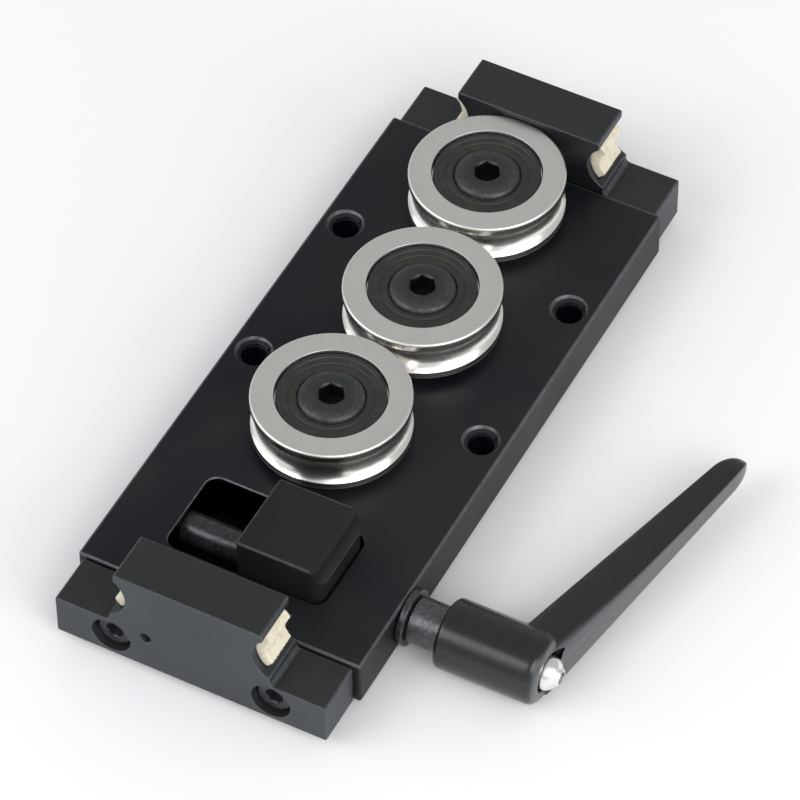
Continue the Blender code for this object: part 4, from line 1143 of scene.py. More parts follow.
def hex_socket(top: float, size: float, depth: float, lead: Point, grow: float, segments: int,
               place: Matrix) -> list[bpy.types.Mesh]:
    """Return the tools of a hex socket and of the cone that leads into it.

    Args:
        top: The height of the head's top.
        size: The hexagon's width across its flats.
        depth: The socket's depth.
        lead: The cone's lower radius and how far below the top it lies.
        grow: How far the cone widens and rises.
        segments: How many steps the cone has round its axis.
        place: Where the tools go.

    Returns:
        The two tools.
    """
    radius, height = lead[0], top - lead[1]
    cone = [(radius, height), (radius + grow, height + grow)]
    return [prism("hex", hexagon(size), top - depth, top + MM, place), solid("lead", cone, segments, place)]


# The carriage's sub-assemblies


@dataclass
class Plate:
    """The flat base plate with its tapped holes, axle bores, nut pockets, clamp pocket and stud bore."""

    width: float = 46.0 * MM
    length: float = 98.0 * MM
    thickness: float = 8.0 * MM
    edge: float = 0.4 * MM
    widest_wear: float = 0.30 * MM
    mount_x: float = 19.0 * MM
    mount_y: tuple[float, float] = (-3.5 * MM, 25.5 * MM)
    mount_bore: float = 2.5 * MM
    mount_flare: float = 0.45 * MM
    thread_ridge: float = 0.36 * MM
    thread_inset: float = 0.14 * MM
    nut_pocket: float = 6.2 * MM
    nut_pocket_floor: float = 3.45 * MM
    axle_bore: float = 3.25 * MM
    lip: float = 0.2 * MM
    pocket_width: float = 26.0 * MM
    pocket_length: float = 14.6 * MM
    pocket_corner: float = 2.0 * MM
    pocket_lip: float = 0.18 * MM
    pocket_over: float = 0.6 * MM
    stud_bore: float = 2.75 * MM
    stud_bore_end: float = -18.0 * MM
    cap_screw_bore: float = 1.75 * MM
    cap_screw_depth: float = 7.0 * MM

    def mount_places(self, height: float) -> list[Place]:
        """Return the middle of each tapped mounting hole at a height."""
        return [(x, y, height) for x in (-self.mount_x, self.mount_x) for y in self.mount_y]

    def tools(self) -> list[bpy.types.Mesh]:
        """Return the tools that cut the plate, with softened mouths."""
        top, side, end = self.thickness, self.width / 2, self.length / 2
        mouth = self.mount_bore + self.mount_flare
        mount = [(mouth + MM, -MM), (mouth, 0.0), (self.mount_bore, self.mount_flare),
                 (self.mount_bore, top - self.mount_flare), (mouth, top), (mouth + MM, top + MM)]
        tools = [solid("mount", mount, 64, Matrix.Translation(place)) for place in self.mount_places(0.0)]
        axle = flare_down(self.nut_pocket, 0.0, self.lip)
        axle += [(self.nut_pocket, self.nut_pocket_floor), (self.axle_bore, self.nut_pocket_floor)]
        axle += flare(self.axle_bore, top, self.lip)
        for number in (1, 2, 3):
            x, y, _ = middle_of(f"axle_nut_{number}")
            tools.append(solid("axle", axle, 72, Matrix.Translation((x, y, 0.0))))
        tools.append(self.pocket_tool())
        bore = [(self.stud_bore, self.stud_bore_end)] + flare(self.stud_bore, side, self.lip)
        tools.append(solid("stud_bore", bore, 64, CLAMP_AXIS))
        blind = [(self.cap_screw_bore, end - self.cap_screw_depth), (self.cap_screw_bore, end + MM)]
        for x in (-CAP_SCREW_X, CAP_SCREW_X):
            for turn in (0.0, math.pi):
                place = Matrix.Translation((x, 0.0, CAP_SCREW_Z)) @ Matrix.Rotation(turn, 4, "Z") @ TO_Y
                tools.append(solid("cap_screw", blind, 32, place))
        return tools

    def pocket_tool(self) -> bpy.types.Mesh:
        """Return the tool of the clamp pocket, with a small flare at both faces."""
        lip, over, top = self.pocket_lip, self.pocket_over, self.thickness
        levels = []
        for height, grow in ((-over, over + lip), (lip, 0.0), (top - lip, 0.0), (top + over, over + lip)):
            outline = rounded_box(self.pocket_width + 2 * grow, self.pocket_length + 2 * grow,
                                  self.pocket_corner + grow, (0.0, CLAMP_Y), 12)
            levels.append([(x, y, height) for x, y in outline])
        return lofted("clamp_pocket", levels)

    def build(self) -> None:
        """Make the plate and the threads of its mounting holes."""
        outline = rounded_box(self.width, self.length, self.edge, (0.0, 0.0), 5)
        body = carved(prism("plate_body", outline, 0.0, self.thickness, bevel=self.edge, segments=4), self.tools())
        mark_narrow_faces(body, self.widest_wear)
        install(body, PLATE_FINISH, "carriage", "base_plate", "plate_body")
        ridge = ThreadRidge(self.mount_bore - self.thread_inset, self.thickness - 2 * self.mount_flare,
                            self.thread_ridge, True)
        thread = ridge.mesh("mount_threads", self.mount_places(self.mount_flare), PLATE_FINISH)
        install(thread, PLATE_FINISH, "carriage", name="mount_threads", weighted=False)


@dataclass
class EndCap:
    """One end cap with its notches, felt wipers, screws and oil hole."""

    end: End
    width: float = 44.0 * MM
    inner_face: float = 49.25 * MM
    outer_face: float = 57.45 * MM
    setback: float = 0.2 * MM
    base_top: float = 7.5 * MM
    top: float = 18.2 * MM
    bar_half: float = 12.0 * MM
    foot_half: float = 13.0 * MM
    foot_fillet: float = 0.8 * MM
    edge: float = 0.35 * MM
    end_edge: float = 0.18 * MM
    lip: float = 0.15 * MM
    widest_wear: float = 0.22 * MM
    notch: float = 4.6 * MM
    felt_pocket: float = 5.0 * MM
    inner_wall: float = 0.8 * MM
    outer_wall: float = 1.2 * MM
    felt_inner: float = 3.0 * MM
    felt_outer: float = 4.75 * MM
    felt_half_angle: float = math.radians(48.0)
    felt_voxel: float = 0.16 * MM
    fibres_per_area: float = 6.0e6
    fibre_length: float = 0.34 * MM
    fibre_radius: float = 0.011 * MM
    fibre_seed: int = 11
    screw_head: float = 2.75 * MM
    screw_head_height: float = 3.0 * MM
    screw_recess: float = 1.2 * MM
    screw_shank: float = 1.5 * MM
    screw_reach: float = 9.0 * MM
    screw_hex: float = 2.5 * MM
    screw_hex_depth: float = 1.5 * MM
    screw_lead: Point = (1.2 * MM, 0.25 * MM)
    screw_lead_grow: float = 0.75 * MM
    counterbore: float = 3.15 * MM
    oil_hole: float = 0.9 * MM
    oil_x: float = 7.2 * MM
    oil_z: float = 6.6 * MM
    oil_depth: float = 4.0 * MM
    relief: float = 12.4 * MM
    relief_gap: float = 0.4 * MM

    @property
    def word(self) -> str:
        """Return the end's name as the CAD nodes spell it."""
        return self.end.name.lower()

    def span(self, low: float, high: float) -> tuple[float, float]:
        """Return a range of distances from the middle as rising Y values at this end."""
        near, far = sorted((self.end.value * low, self.end.value * high))
        return near, far

    def lying(self, x: float, z: float) -> Matrix:
        """Return the move that points a piece turned about Z out of this end at a place."""
        turn = Matrix.Rotation(0.0 if self.end is End.REAR else math.pi, 4, "Z")
        return turn @ Matrix.Translation((x, 0.0, z)) @ TO_Y

    def outline(self) -> list[Point]:
        """Return the cap's outline seen along the line of travel."""
        start = TURN - math.acos((self.foot_half - GUIDE_X) / self.notch)
        end = math.acos((self.bar_half - GUIDE_X) / self.notch)
        corner = (self.foot_half + self.foot_fillet, self.base_top + self.foot_fillet)
        half = [(self.width / 2, self.setback), (self.width / 2, self.base_top)]
        half += arc(corner, self.foot_fillet, 3 * QUARTER, math.pi, 8)
        half += arc((GUIDE_X, GUIDE_Z), self.notch, start, end, 30) + [(self.bar_half, self.top)]
        return soften(half + [(-x, z) for x, z in reversed(half)], self.edge, 4, True, math.radians(30.0))

    def felt_outline(self, side: Side, outer: float, half_angle: float, soft: float) -> list[Point]:
        """Return a crescent round the guide axis, for a wiper or for its pocket.

        Args:
            side: The crescent's side.
            outer: Its outer radius.
            half_angle: Half of the angle that it covers.
            soft: The radius of its corners.

        Returns:
            The crescent's outline.
        """
        middle = math.pi if side is Side.RIGHT else 0.0
        centre = (side.value * GUIDE_X, GUIDE_Z)
        low, high = middle - half_angle, middle + half_angle
        points = arc(centre, outer, low, high, 24) + arc(centre, self.felt_inner, high, low, 20)
        return soften(points, soft, 3)

    def tools(self) -> list[bpy.types.Mesh]:
        """Return the tools that cut the cap."""
        tools: list[bpy.types.Mesh] = []
        under = self.outer_face - self.screw_recess - self.screw_head_height - GAP
        shank = self.screw_shank + GAP
        hole = [(shank, self.inner_face - MM), (shank, under), (self.counterbore, under)]
        hole += flare(self.counterbore, self.outer_face, self.lip)
        low, high = self.span(self.inner_face + self.inner_wall, self.outer_face - self.outer_wall)
        for side in Side:
            reach = self.felt_half_angle + GAP / self.felt_pocket
            pocket = self.felt_outline(side, self.felt_pocket, reach, 0.02 * MM)
            tools.append(prism("felt_pocket", pocket, low, high, UPRIGHT))
            tools.append(solid("cap_hole", hole, 56, self.lying(side.value * CAP_SCREW_X, CAP_SCREW_Z)))
        ring = f"roller_ring_{1 if self.end is End.FRONT else 3}"
        low_corner, high_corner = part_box(ring)
        tools.append(prism("roller_relief", circle(self.relief, 120, middle_of(ring)[:2]),
                           low_corner.z - self.relief_gap, high_corner.z + self.relief_gap))
        oil = [(self.oil_hole, self.outer_face - self.oil_depth)] + flare(self.oil_hole, self.outer_face, self.lip)
        tools.append(solid("oil_hole", oil, 36, self.lying(self.oil_x, self.oil_z)))
        return tools

    def build_felt(self, side: Side) -> None:
        """Make one wiper as a fuzzy block of felt with loose fibres."""
        name = f"wiper_felt_{self.word}_{side.name.lower()}"
        low, high = self.span(self.inner_face + self.inner_wall + GAP, self.outer_face - self.outer_wall - GAP)
        outline = self.felt_outline(side, self.felt_outer, self.felt_half_angle, 0.22 * MM)
        mesh = remeshed(prism(name, outline, low, high, UPRIGHT, 0.10 * MM, 2), self.felt_voxel)
        shape = bmesh.new()
        shape.from_mesh(mesh)
        shape.normal_update()
        for vert in shape.verts:
            rough = noise.fractal(vert.co * 2600.0, 1.0, 2.0, 3)
            dent = noise.noise(vert.co * 700.0)
            vert.co -= vert.normal * (0.035 + 0.030 * rough + 0.035 * dent) * MM
        shape.to_mesh(mesh)
        shape.free()
        fibres = Fuzz(self.fibres_per_area, self.fibre_length, self.fibre_radius,
                      self.fibre_seed + self.end.value + 3 * side.value)
        hairs = fibres.mesh(f"{name}_strands", mesh.copy(), FELT_FINISH)
        install(mesh, FELT_FINISH, "carriage", name, angle=60.0, weighted=False)
        install(hairs, FELT_FINISH, "carriage", name=f"{name}_fibres", angle=60.0, weighted=False)

    def build_screw(self, side: Side) -> None:
        """Make one socket screw of the cap."""
        name = f"cap_screw_{self.word}_{side.name.lower()}"
        top = self.outer_face - self.screw_recess
        under = top - self.screw_head_height
        rim = [(self.screw_shank, under - self.screw_reach), (self.screw_shank, under), (self.screw_head, under),
               (self.screw_head, top)]
        place = self.lying(side.value * CAP_SCREW_X, CAP_SCREW_Z)
        cuts = hex_socket(top, self.screw_hex, self.screw_hex_depth, self.screw_lead, self.screw_lead_grow, 48, place)
        install(carved(solid(name, rim, 56, place, 0.35 * MM), cuts), BOLT_FINISH, "carriage", name)

    def build(self) -> None:
        """Make the cap with all that it carries."""
        name = f"end_cap_{self.word}"
        low, high = self.span(self.inner_face, self.outer_face)
        mesh = carved(prism(name, self.outline(), low, high, UPRIGHT, self.end_edge, 3), self.tools())
        mark_narrow_faces(mesh, self.widest_wear)
        install(mesh, CAP_FINISH, "carriage", name)
        for side in Side:
            self.build_felt(side)
            self.build_screw(side)


@dataclass
class Roller:
    """One grooved roller with its bearing and axle. Heights are above the roller's lower face."""

    number: int
    rim: float = 12.0 * MM
    height: float = 7.6 * MM
    groove_radius: float = 3.1 * MM
    groove_depth: float = 1.14 * MM
    flange_round: float = 0.4 * MM
    seat_radius: float = 8.45 * MM
    seat_depth: float = 1.3 * MM
    land_outer: float = 7.65 * MM
    land_inner: float = 5.55 * MM
    inner_low: float = 2.05 * MM
    inner_high: float = 5.55 * MM
    bore: float = 3.25 * MM
    ball_radius: float = 1.35 * MM
    ball_pitch: float = 6.6 * MM
    ball_count: int = 7
    race_play: float = 0.3 * MM
    cage_inner: float = 6.05 * MM
    cage_outer: float = 7.15 * MM
    cage_low: float = 1.8 * MM
    cage_high: float = 2.8 * MM
    seal_top: float = 7.2 * MM
    head_radius: float = 5.05 * MM
    head_under: float = 5.8 * MM
    head_top: float = 7.7 * MM
    crown_radius: float = 3.55 * MM
    crown_low: float = 6.6 * MM
    hex_size: float = 3.7 * MM
    hex_depth: float = 2.6 * MM
    hex_lead: Point = (1.84 * MM, 0.30 * MM)
    hex_lead_grow: float = 0.9 * MM
    shank: float = 3.0 * MM
    collar: float = 5.0 * MM
    plate_top: float = 8.0 * MM
    thread_length: float = 2.9 * MM
    thread_ridge: float = 0.16 * MM
    nut_size: float = 10.0 * MM
    nut_height: float = 2.8 * MM
    nut_low: float = 0.4 * MM
    nut_chamfer: float = math.radians(28.0)

    def __post_init__(self) -> None:
        """Read the roller's and the nut's places from the CAD model."""
        self.middle = middle_of(f"roller_ring_{self.number}")
        self.base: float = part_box(f"roller_ring_{self.number}")[0].z
        self.place = Matrix.Translation((*self.middle[:2], self.base))
        self.hole: Point = middle_of(f"axle_nut_{self.number}")[:2]
        self.eccentric = self.number == 2
        self.axle_body = "eccentric" if self.eccentric else "carriage"

    def flipped(self, section: Sequence[Point]) -> list[Point]:
        """Return a section turned upside down within the roller's height."""
        return [(r, self.height - z) for r, z in reversed(section)]

    def track(self, land: float, middle: float, count: int) -> list[Point]:
        """Return the arc that the balls run in, between the edges that it has in a land."""
        race = self.ball_radius + self.race_play
        half = math.acos(abs(land - self.ball_pitch) / race)
        return arc((self.ball_pitch, self.height / 2), race, middle + half, middle - half, count)

    def ring_section(self) -> list[Point]:
        """Return the outer ring's section with soft lips at the groove and the seal seats."""
        axis = self.rim - self.groove_depth + self.groove_radius
        reach = math.acos((axis - self.rim) / self.groove_radius)
        low = [(self.seat_radius, 0.0)]
        low += arc((self.rim - self.flange_round, self.flange_round), self.flange_round, -QUARTER, 0.0, 7)
        groove = arc((axis, self.height / 2), self.groove_radius, math.pi + reach, math.pi - reach, 26)
        seat_height = self.height - self.seat_depth
        seat = [(self.seat_radius, seat_height), (self.land_outer, seat_height)]
        track = self.track(self.land_outer, 0.0, 14)
        return soften(low + groove + self.flipped(low) + seat + track + self.flipped(seat), 0.09 * MM, 3)

    def head_section(self) -> list[Point]:
        """Return the button head's rim from the shank's corner up to its flat top."""
        lip = 0.12 * MM
        return [(self.shank, self.head_under), (self.head_radius - lip, self.head_under),
                (self.head_radius, self.head_under + lip),
                *dome((self.crown_radius, self.head_top), (self.head_radius, self.crown_low), 10)]

    def build_bearing(self) -> None:
        """Make the outer ring, the seals, the balls in their cage and the inner ring."""
        n, ring_body, ball_body = self.number, f"roller_{self.number}", f"ball_set_{self.number}"
        steel = RollerSteel(f"ground_roller_steel_{n}", centre=self.middle)
        install(turned("ring", self.ring_section(), 144, self.place), steel, ring_body, f"roller_ring_{n}",
                angle=40.0)
        rubber = SealRubber(f"seal_rubber_{n}", centre=self.middle)
        seal = [(radius * MM, self.seal_top - drop * MM) for radius, drop in SEAL_PROFILE]
        for word, section in (("upper", seal), ("lower", self.flipped(seal))):
            install(turned("seal", section, 96, self.place, 0.05 * MM, 2), rubber, ring_body,
                    f"roller_seal_{word}_{n}", angle=50.0)
        balls = BallRow(self.ball_count, self.ball_pitch, self.ball_radius)
        install(balls.mesh(f"ball_row_{n}", self.middle, BEARING_FINISH), BEARING_FINISH, ball_body,
                name=f"balls_{n}", angle=30.0, weighted=False)
        cage = tube("cage", self.cage_inner, self.cage_outer, self.cage_low, self.cage_high, 72, self.place,
                    0.12 * MM)
        install(cage, BEARING_FINISH, ball_body, f"ball_cage_{n}")
        section = [(self.bore, self.inner_low), (self.land_inner, self.inner_low),
                   *self.track(self.land_inner, math.pi, 12),
                   (self.land_inner, self.inner_high), (self.bore, self.inner_high)]
        install(turned("inner", section, 72, self.place, 0.10 * MM, 3), BEARING_FINISH, self.axle_body,
                f"inner_ring_{n}")

    def build_axle(self) -> None:
        """Make the button-head axle, its thread, and the spacer or the eccentric collar."""
        n, chamfer = self.number, 0.4 * MM
        foot = self.nut_low - self.base
        seat = self.plate_top + GAP - self.base
        shoulder = self.inner_low - GAP
        tip = [(self.shank - chamfer, foot), (self.shank, foot + chamfer)]
        cuts = hex_socket(self.head_top, self.hex_size, self.hex_depth, self.hex_lead, self.hex_lead_grow, 64,
                          self.place)
        if self.eccentric:
            node = f"eccentric_axle_{n}"
            rim = [(self.collar, seat), (self.collar, shoulder), (self.shank, shoulder)] + self.head_section()
            spigot = solid("spigot", tip + [(self.shank, seat + MM)], 64, Matrix.Translation((*self.hole, self.base)))
            first = [(spigot, "UNION")]
        else:
            node = f"axle_screw_{n}"
            rim = tip + self.head_section()
            first = []
            spacer = tube("spacer", self.bore, self.collar, seat, shoulder, 64, self.place, 0.15 * MM)
            install(spacer, BEARING_FINISH, "carriage", f"axle_spacer_{n}")
        mesh = carved(solid("axle", rim, 72, self.place, 0.12 * MM, 3), cuts, first)
        finish = OxideHead(f"black_oxide_axle_{n}", centre=(*self.middle[:2], self.base + self.head_top))
        install(mesh, finish, self.axle_body, node, angle=32.0)
        ridge = ThreadRidge(self.shank + 0.02 * MM, self.thread_length, self.thread_ridge)
        thread = ridge.mesh(f"axle_ridge_{n}", [(*self.hole, self.nut_low + 0.2 * MM)], BOLT_FINISH)
        install(thread, BOLT_FINISH, self.axle_body, name=f"axle_thread_{n}", weighted=False)

    def build_nut(self) -> None:
        """Make the thin nut in its pocket, with chamfered corners and bore."""
        low, high, lip = self.nut_low, self.nut_low + self.nut_height, 0.3 * MM
        corner = self.nut_size / math.sqrt(3.0)
        flat = self.nut_size / 2 * 0.96
        slope = (corner - flat) * math.tan(self.nut_chamfer)
        reach = corner + 0.01 * MM
        place = Matrix.Translation((*self.hole, 0.0))
        rim = [(flat, low), (reach, low + slope), (reach, high - slope), (flat, high)]
        bore = solid("bore", flare_down(self.bore, low, lip) + flare(self.bore, high, lip), 64, place)
        body = prism("nut", hexagon(self.nut_size), low, high, place)
        mesh = carved(body, [bore], [(solid("round", rim, 96, place), "INTERSECT")])
        install(mesh, BOLT_FINISH, "carriage", f"axle_nut_{self.number}", angle=25.0)

    def build(self) -> None:
        """Make the whole roller."""
        self.build_bearing()
        self.build_axle()
        self.build_nut()


@dataclass
class BlockClamp:
    """The clamp block in the plate's pocket and the stud that draws it outwards."""

    left: float = -1.2 * MM
    right: float = 12.6 * MM
    top_right: float = 10.6 * MM
    bottom: float = 0.6 * MM
    top: float = 14.2 * MM
    half: float = 6.8 * MM
    jaw: float = 3.25 * MM
    jaw_start: float = math.radians(260.0)
    jaw_lead: float = math.radians(170.0)
    outer_corner: float = 2.0 * MM
    inner_corner: float = 0.6 * MM
    edge: float = 0.35 * MM
    lip: float = 0.25 * MM
    widest_wear: float = 0.16 * MM
    stud: float = 2.5 * MM
    stud_left: float = -17.75 * MM
    stud_right: float = 31.25 * MM
    thread_left: float = -0.8 * MM
    thread_length: float = 13.0 * MM
    thread_ridge: float = 0.16 * MM
    washer_x: float = 23.25 * MM
    washer: float = 4.4 * MM
    washer_thickness: float = 1.0 * MM

    def block_plan(self) -> list[Point]:
        """Return the block's outline seen from above, with its rounder corners on the outer side."""
        plan: list[Point] = []
        for quarter, (sx, sy) in enumerate(((1, 1), (-1, 1), (-1, -1), (1, -1))):
            edge, radius, count = (self.right, self.outer_corner, 14) if sx > 0 else (self.left, self.inner_corner, 6)
            middle = (edge - sx * radius, CLAMP_Y + sy * (self.half - radius))
            plan += arc(middle, radius, quarter * QUARTER, (quarter + 1) * QUARTER, count)
        return plan

    def build_block(self) -> None:
        """Make the sliding block with its hollow jaw."""
        body = prism("block", self.block_plan(), self.bottom, self.top, bevel=self.edge, segments=4)
        hollow = arc((GUIDE_X, GUIDE_Z), self.jaw, self.jaw_start, self.jaw_lead, 26)
        lead_x, lead_z = hollow[-1]
        slope = (lead_x - self.top_right) / (self.top - lead_z)
        jaw = [(GUIDE_X, self.top + MM), (GUIDE_X, hollow[0][1]), *hollow, (self.top_right - slope * MM, self.top + MM)]
        groove = prism("groove", jaw, CLAMP_Y - self.half - MM, CLAMP_Y + self.half + MM, UPRIGHT)
        bore = self.stud + GAP
        hole = solid("hole", flare_down(bore, self.left, self.lip) + [(bore, self.right + MM)], 56, CLAMP_AXIS)
        mesh = carved(body, [groove, hole])
        mark_narrow_faces(mesh, self.widest_wear)
        install(mesh, BLOCK_FINISH, "clamp_jaw", "clamp_block")

    def build_stud(self) -> None:
        """Make the stud with its thread in the block, and the thrust washer."""
        stud = solid("stud", [(self.stud, self.stud_left), (self.stud, self.stud_right)], 64, CLAMP_AXIS, 0.4 * MM)
        install(stud, STUD_FINISH, "clamp_screw", "clamp_stud")
        ridge = ThreadRidge(self.stud - 0.02 * MM, self.thread_length, self.thread_ridge)
        thread = ridge.mesh("stud_ridge", [(0.0, 0.0, self.thread_left)], STUD_FINISH, CLAMP_AXIS)
        install(thread, STUD_FINISH, "clamp_screw", name="stud_thread", weighted=False)
        washer = tube("washer", self.stud + GAP, self.washer, self.washer_x, self.washer_x + self.washer_thickness,
                      72, CLAMP_AXIS, 0.18 * MM)
        install(washer, STUD_FINISH, "carriage", "thrust_washer")

    def build(self) -> None:
        """Make the block, the stud and the washer."""
        self.build_block()
        self.build_stud()


@dataclass
class IndexingLever:
    """The lever with its serrated insert, retaining screw and spring."""

    insert_x: float = 24.5 * MM
    collar: float = 3.6 * MM
    collar_bore: float = 2.75 * MM
    bore_depth: float = 7.0 * MM
    teeth_x: float = 33.8 * MM
    insert_end: float = 36.55 * MM
    tooth_tip: float = 3.7 * MM
    tooth_depth: float = 0.6 * MM
    wedge: float = 0.55 * MM
    tooth_count: int = 12
    screw_bore: float = 1.75 * MM
    hub_x: float = 29.55 * MM
    hub_end: float = 45.55 * MM
    hub: float = 5.4 * MM
    hub_edge: float = 0.45 * MM
    hub_round: float = 1.5 * MM
    lip: float = 0.2 * MM
    web_low: float = 36.8 * MM
    web_high: float = 37.8 * MM
    cavity: float = 3.05 * MM
    voxel: float = 0.17 * MM
    screw_end: float = 32.95 * MM
    screw_head_x: float = 44.55 * MM
    screw_top: float = 47.75 * MM
    screw_head: float = 2.7 * MM
    screw_rim: float = 0.9 * MM
    screw_face: float = 1.2 * MM
    screw_dome_end: float = 1.35 * MM
    screw_shank: float = 1.5 * MM
    screw_hex: float = 1.8 * MM
    screw_hex_depth: float = 1.2 * MM
    spring_low: float = 38.30 * MM
    spring_high: float = 44.05 * MM
    spring_radius: float = 2.3 * MM
    spring_wire: float = 0.25 * MM
    spring_turns: int = 5
    stroke: float = 3.0 * MM
    arm_x: float = 42.45 * MM
    arm_length: float = 49.5 * MM
    arm_rise: float = math.radians(12.7)
    arm_root_width: float = 7.3 * MM
    arm_tip_width: float = 3.7 * MM
    arm_width_power: float = 1.6
    arm_root_height: float = 9.2 * MM
    arm_tip_height: float = 4.2 * MM
    arm_tip_round: float = 4.5 * MM
    arm_tip_lean: float = 0.42
    arm_wall: Point = (3.0 * MM, 2.0 * MM)
    arm_wall_reach: float = 0.62
    arm_corner: float = 0.45 * MM
    arm_crest: float = -0.20
    arm_powers: Point = (0.62, 0.60)

    def build_insert(self) -> None:
        """Make the insert's collar and core, and its serrations."""
        root = self.tooth_tip - self.tooth_depth
        rim = [(self.collar, self.insert_x), (self.collar, self.teeth_x - 0.5 * MM), (root, self.teeth_x),
               (root, self.insert_end)]
        floor = self.insert_x + self.bore_depth
        bore = solid("bore", [(self.collar_bore, self.insert_x - MM), (self.collar_bore, floor)], 56, CLAMP_AXIS)
        thread = solid("thread", [(self.screw_bore, floor + MM), (self.screw_bore, self.insert_end + MM)], 48,
                       CLAMP_AXIS)
        mesh = carved(solid("insert", rim, 72, CLAMP_AXIS, 0.22 * MM), [bore, thread])
        install(mesh, INSERT_FINISH, "clamp_screw", "lever_insert")
        teeth = Serrations(self.tooth_count, self.tooth_tip, self.wedge, self.insert_end - self.teeth_x)
        place = CLAMP_AXIS @ Matrix.Translation((0.0, 0.0, (self.teeth_x + self.insert_end) / 2))
        install(teeth.mesh("insert_teeth", place, INSERT_FINISH), INSERT_FINISH, "clamp_screw",
                name="insert_serrations", angle=20.0, weighted=False)

    def build_screw(self) -> None:
        """Make the domed screw in the hub's end, and the spring behind it."""
        tip, lip = 0.3 * MM, 0.15 * MM
        crown = dome((0.0, self.screw_top), (self.screw_head, self.screw_head_x + self.screw_rim), 14)
        rim = [(self.screw_shank - tip, self.screw_end), (self.screw_shank, self.screw_end + tip),
               (self.screw_shank, self.screw_head_x), (self.screw_head - lip, self.screw_head_x),
               (self.screw_head, self.screw_head_x + lip),
               *((r, x) for r, x in crown if r > self.screw_dome_end), (self.screw_face, self.screw_top)]
        socket = prism("hex", hexagon(self.screw_hex), self.screw_top - self.screw_hex_depth, self.screw_top + MM,
                       CLAMP_AXIS)
        install(carved(solid("screw", rim, 72, CLAMP_AXIS), [socket]), ZINC_FINISH, "clamp_screw", "lever_screw",
                angle=32.0)
        coil = CoilSpring(self.spring_radius, self.spring_wire, self.spring_turns, self.spring_low, self.spring_high)
        spring = install(coil.mesh("lever_coil", CLAMP_AXIS, ZINC_FINISH), ZINC_FINISH, "clamp_screw",
                         "lever_spring", angle=40.0, weighted=False)
        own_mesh(spring)

    def arm_section(self, distance: float) -> list[Place]:
        """Return one section of the arm: a crisp outer side below a rounded top.

        Args:
            distance: How far the section is from the hub's axis.

        Returns:
            The section's points in the arm's own frame: outwards, along, up.
        """
        t = distance / self.arm_length
        width = self.arm_root_width + (self.arm_tip_width - self.arm_root_width) * t ** self.arm_width_power
        height = self.arm_tip_height + (self.arm_root_height - self.arm_tip_height) * (1 - t) ** 2
        left = min(1.0, (self.arm_length - distance) / self.arm_tip_round)
        scale = math.sqrt(max(0.0, 1 - (1 - left) ** 2))
        half_w, half_h = width / 2 * scale, height / 2 * scale
        wall = min(height, self.arm_wall[0] + self.arm_wall[1] * min(1.0, t / self.arm_wall_reach)) * scale
        edge = -half_h + min(wall, 2 * half_h * 0.93)
        small, big = self.arm_corner * scale * 2, self.arm_corner * scale * 3
        bend = half_w - 0.05 * MM * scale
        crest = self.arm_crest * half_w
        points = arc((half_w - small, -half_h + small), small, -QUARTER, 0.0, 6)
        points += [(half_w, -half_h + (edge + half_h) * 0.6), (half_w, edge - 0.16 * MM * scale),
                   (bend, edge - 0.03 * MM * scale)]
        outer, inner = self.arm_powers
        angles = [QUARTER * i / 8 for i in range(1, 9)]
        points += [(crest + (bend - crest) * math.cos(a) ** outer, edge + (half_h - edge) * math.sin(a) ** outer)
                   for a in angles]
        points += [(crest - (half_w + crest) * math.sin(a) ** inner, half_h * (1.1 * math.cos(a) ** inner - 0.1))
                   for a in angles]
        points += arc((-half_w + big, -half_h + big), big, math.pi, 3 * QUARTER, 6)
        shift = width / 2 * (1 - scale) * self.arm_tip_lean
        return [(u + shift, distance, v) for u, v in points]

    def arm_mesh(self) -> bpy.types.Mesh:
        """Loft the arm out from the hub's axis to its tip, which leans to the outer side."""
        body = self.arm_length - self.arm_tip_round
        stations = [body * i / 30 for i in range(31)]
        stations += [body + self.arm_tip_round * math.sin(QUARTER * i / 12) for i in range(1, 12)]
        stations.append(self.arm_length - 0.02 * MM)
        place = Matrix.Translation((self.arm_x, CLAMP_Y, CLAMP_Z)) @ Matrix.Rotation(-self.arm_rise, 4, "Z")
        return lofted("arm", [self.arm_section(distance) for distance in stations], place)

    def star(self, tip: float, root: float) -> list[Point]:
        """Return the outline of the serrations inside the hub."""
        step = math.pi / self.tooth_count
        reach = [tip, root] * self.tooth_count
        return [(radius * math.cos(step * i), radius * math.sin(step * i)) for i, radius in enumerate(reach)]

    def build_handle(self) -> None:
        """Make the casting: hub and arm grown together, then bored."""
        edge, end = self.hub_edge, self.hub_round
        rim = [(self.hub - edge, self.hub_x), (self.hub, self.hub_x + edge),
               *dome((self.hub - end, self.hub_end), (self.hub, self.hub_end - end), 10)]
        hub = solid("hub", rim, 128, CLAMP_AXIS)
        casting = remeshed(carved(hub, [], [(self.arm_mesh(), "UNION")]), self.voxel, 3)
        tip = self.tooth_tip + GAP
        wide = tip + GAP / 2
        mouth = flare_down(wide, self.hub_x, self.lip) + [(wide, self.teeth_x + GAP)]
        clear = self.screw_shank + GAP
        cavity = [(clear, self.web_low - MM), (clear, self.web_high), (self.cavity, self.web_high)]
        cavity += flare(self.cavity, self.hub_end, self.lip)
        teeth = prism("teeth", self.star(tip, tip - self.tooth_depth), self.teeth_x - MM, self.web_low, CLAMP_AXIS)
        mesh = carved(casting, [solid("mouth", mouth, 64, CLAMP_AXIS), teeth,
                                solid("cavity", cavity, 72, CLAMP_AXIS)])
        install(mesh, LEVER_FINISH, "lever", "lever_handle", angle=40.0, weighted=False)

    def build(self) -> None:
        """Make the insert, the screw with its spring, and the handle."""
        self.build_insert()
        self.build_screw()
        self.build_handle()


# The stage


